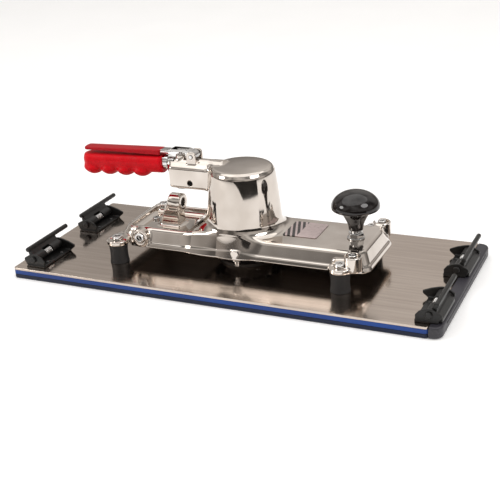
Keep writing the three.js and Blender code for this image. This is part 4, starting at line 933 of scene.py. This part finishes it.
# %% Stage
floor_mat = material("pale_floor", (0.90, 0.90, 0.90), (0.93, 0.93, 0.93), (0.75, 0.9), 0, 10, 0.0)
REACH = 9000
floor_points = [(-REACH, -REACH, -0.3), (REACH, -REACH, -0.3), (REACH, REACH, -0.3), (-REACH, REACH, -0.3)]
floor = add_mesh("floor", floor_points, [(0, 1, 2, 3)], floor_mat, False)
floor_shader = floor_mat.node_tree.nodes["Principled BSDF"]
floor_shader.inputs["Emission Color"].default_value = (1, 1, 1, 1)
floor_shader.inputs["Emission Strength"].default_value = 0.16

scene = bpy.context.scene
world = bpy.data.worlds.new("studio")
scene.world = world
world.use_nodes = True
wtree = world.node_tree
backdrop = wtree.nodes["Background"]
backdrop.inputs["Color"].default_value = (1, 1, 1, 1)
backdrop.inputs["Strength"].default_value = 1.05
room = wtree.nodes.new("ShaderNodeBackground")
direction = wtree.nodes.new("ShaderNodeTexCoord").outputs["Generated"]
height = linked(wtree, "ShaderNodeSeparateXYZ", Vector=direction).outputs["Z"]
tones = wtree.nodes.new("ShaderNodeValToRGB")
tones.color_ramp.elements[0].position = 0.0
tones.color_ramp.elements[0].color = (0.46, 0.42, 0.39, 1)
tones.color_ramp.elements[1].position = 0.9
tones.color_ramp.elements[1].color = (0.95, 0.93, 0.90, 1)
wtree.links.new(height, tones.inputs[0])
patches = linked(wtree, "ShaderNodeTexNoise", Vector=direction, Scale=1.9, Detail=1.0).outputs["Fac"]
contrast = wtree.nodes.new("ShaderNodeMapRange")
wtree.links.new(patches, contrast.inputs["Value"])
for socket, value in (("From Min", 0.34), ("From Max", 0.62), ("To Min", 0.24), ("To Max", 0.98)):
    contrast.inputs[socket].default_value = value
wtree.links.new(tones.outputs[0], room.inputs["Color"])
wtree.links.new(contrast.outputs[0], room.inputs["Strength"])
seen = wtree.nodes.new("ShaderNodeLightPath").outputs["Is Camera Ray"]
choose = wtree.nodes.new("ShaderNodeMixShader")
wtree.links.new(seen, choose.inputs[0])
wtree.links.new(room.outputs[0], choose.inputs[1])
wtree.links.new(backdrop.outputs[0], choose.inputs[2])
wtree.links.new(choose.outputs[0], wtree.nodes["World Output"].inputs["Surface"])


def soft_light(name, spot, aim, width, depth, power, tint=(1, 1, 1)):
    lamp = bpy.data.lights.new(name, "AREA")
    lamp.shape = "ELLIPSE"
    lamp.size, lamp.size_y, lamp.energy, lamp.color = width, depth, power, tint
    placed = bpy.data.objects.new(name, lamp)
    scene.collection.objects.link(placed)
    placed.location = spot
    placed.rotation_euler = (Vector(aim) - Vector(spot)).to_track_quat("-Z", "Y").to_euler()
    return placed


soft_light("over", (-0.3, 0.3, 3.0), (0, 0, 0), 5.0, 4.0, 48, (1, 0.99, 0.98))
soft_light("left", (-1.3, -0.9, 0.9), (0, 0, 0.06), 0.6, 0.6, 7, (1, 0.98, 0.96))
soft_light("right", (1.2, -0.25, 1.3), (0, 0, 0.06), 0.9, 0.8, 9, (1, 0.98, 0.97))

CARD_STEPS, CARD_DISTANCE, CARD_TOP = 20, 600, 160
arc = [math.radians(a) for a in np.linspace(-94, -18, CARD_STEPS)]
rim = [(CARD_DISTANCE * math.cos(a), CARD_DISTANCE * math.sin(a)) for a in arc]
card_points = [(x, y, max(0, 85 - 12.8 * k)) for k, (x, y) in enumerate(rim)]
card_points += [(x, y, CARD_TOP) for x, y in rim]
card_faces = [(k, k + 1, CARD_STEPS + 1 + k, CARD_STEPS + k) for k in range(CARD_STEPS - 1)]
card = add_mesh("dark_card", card_points, card_faces, DARK, False)
card.visible_camera = card.visible_shadow = card.visible_diffuse = False

camera_data = bpy.data.cameras.new("camera")
camera_data.lens = 73.09
camera_data.sensor_width = 36
camera = bpy.data.objects.new("camera", camera_data)
scene.collection.objects.link(camera)
camera.location = (0.42114, -0.87802, 0.43101)
camera.rotation_euler = [math.radians(v) for v in (66.979, 3.301, 24.2)]
scene.camera = camera
scene.view_settings.view_transform = "Standard"
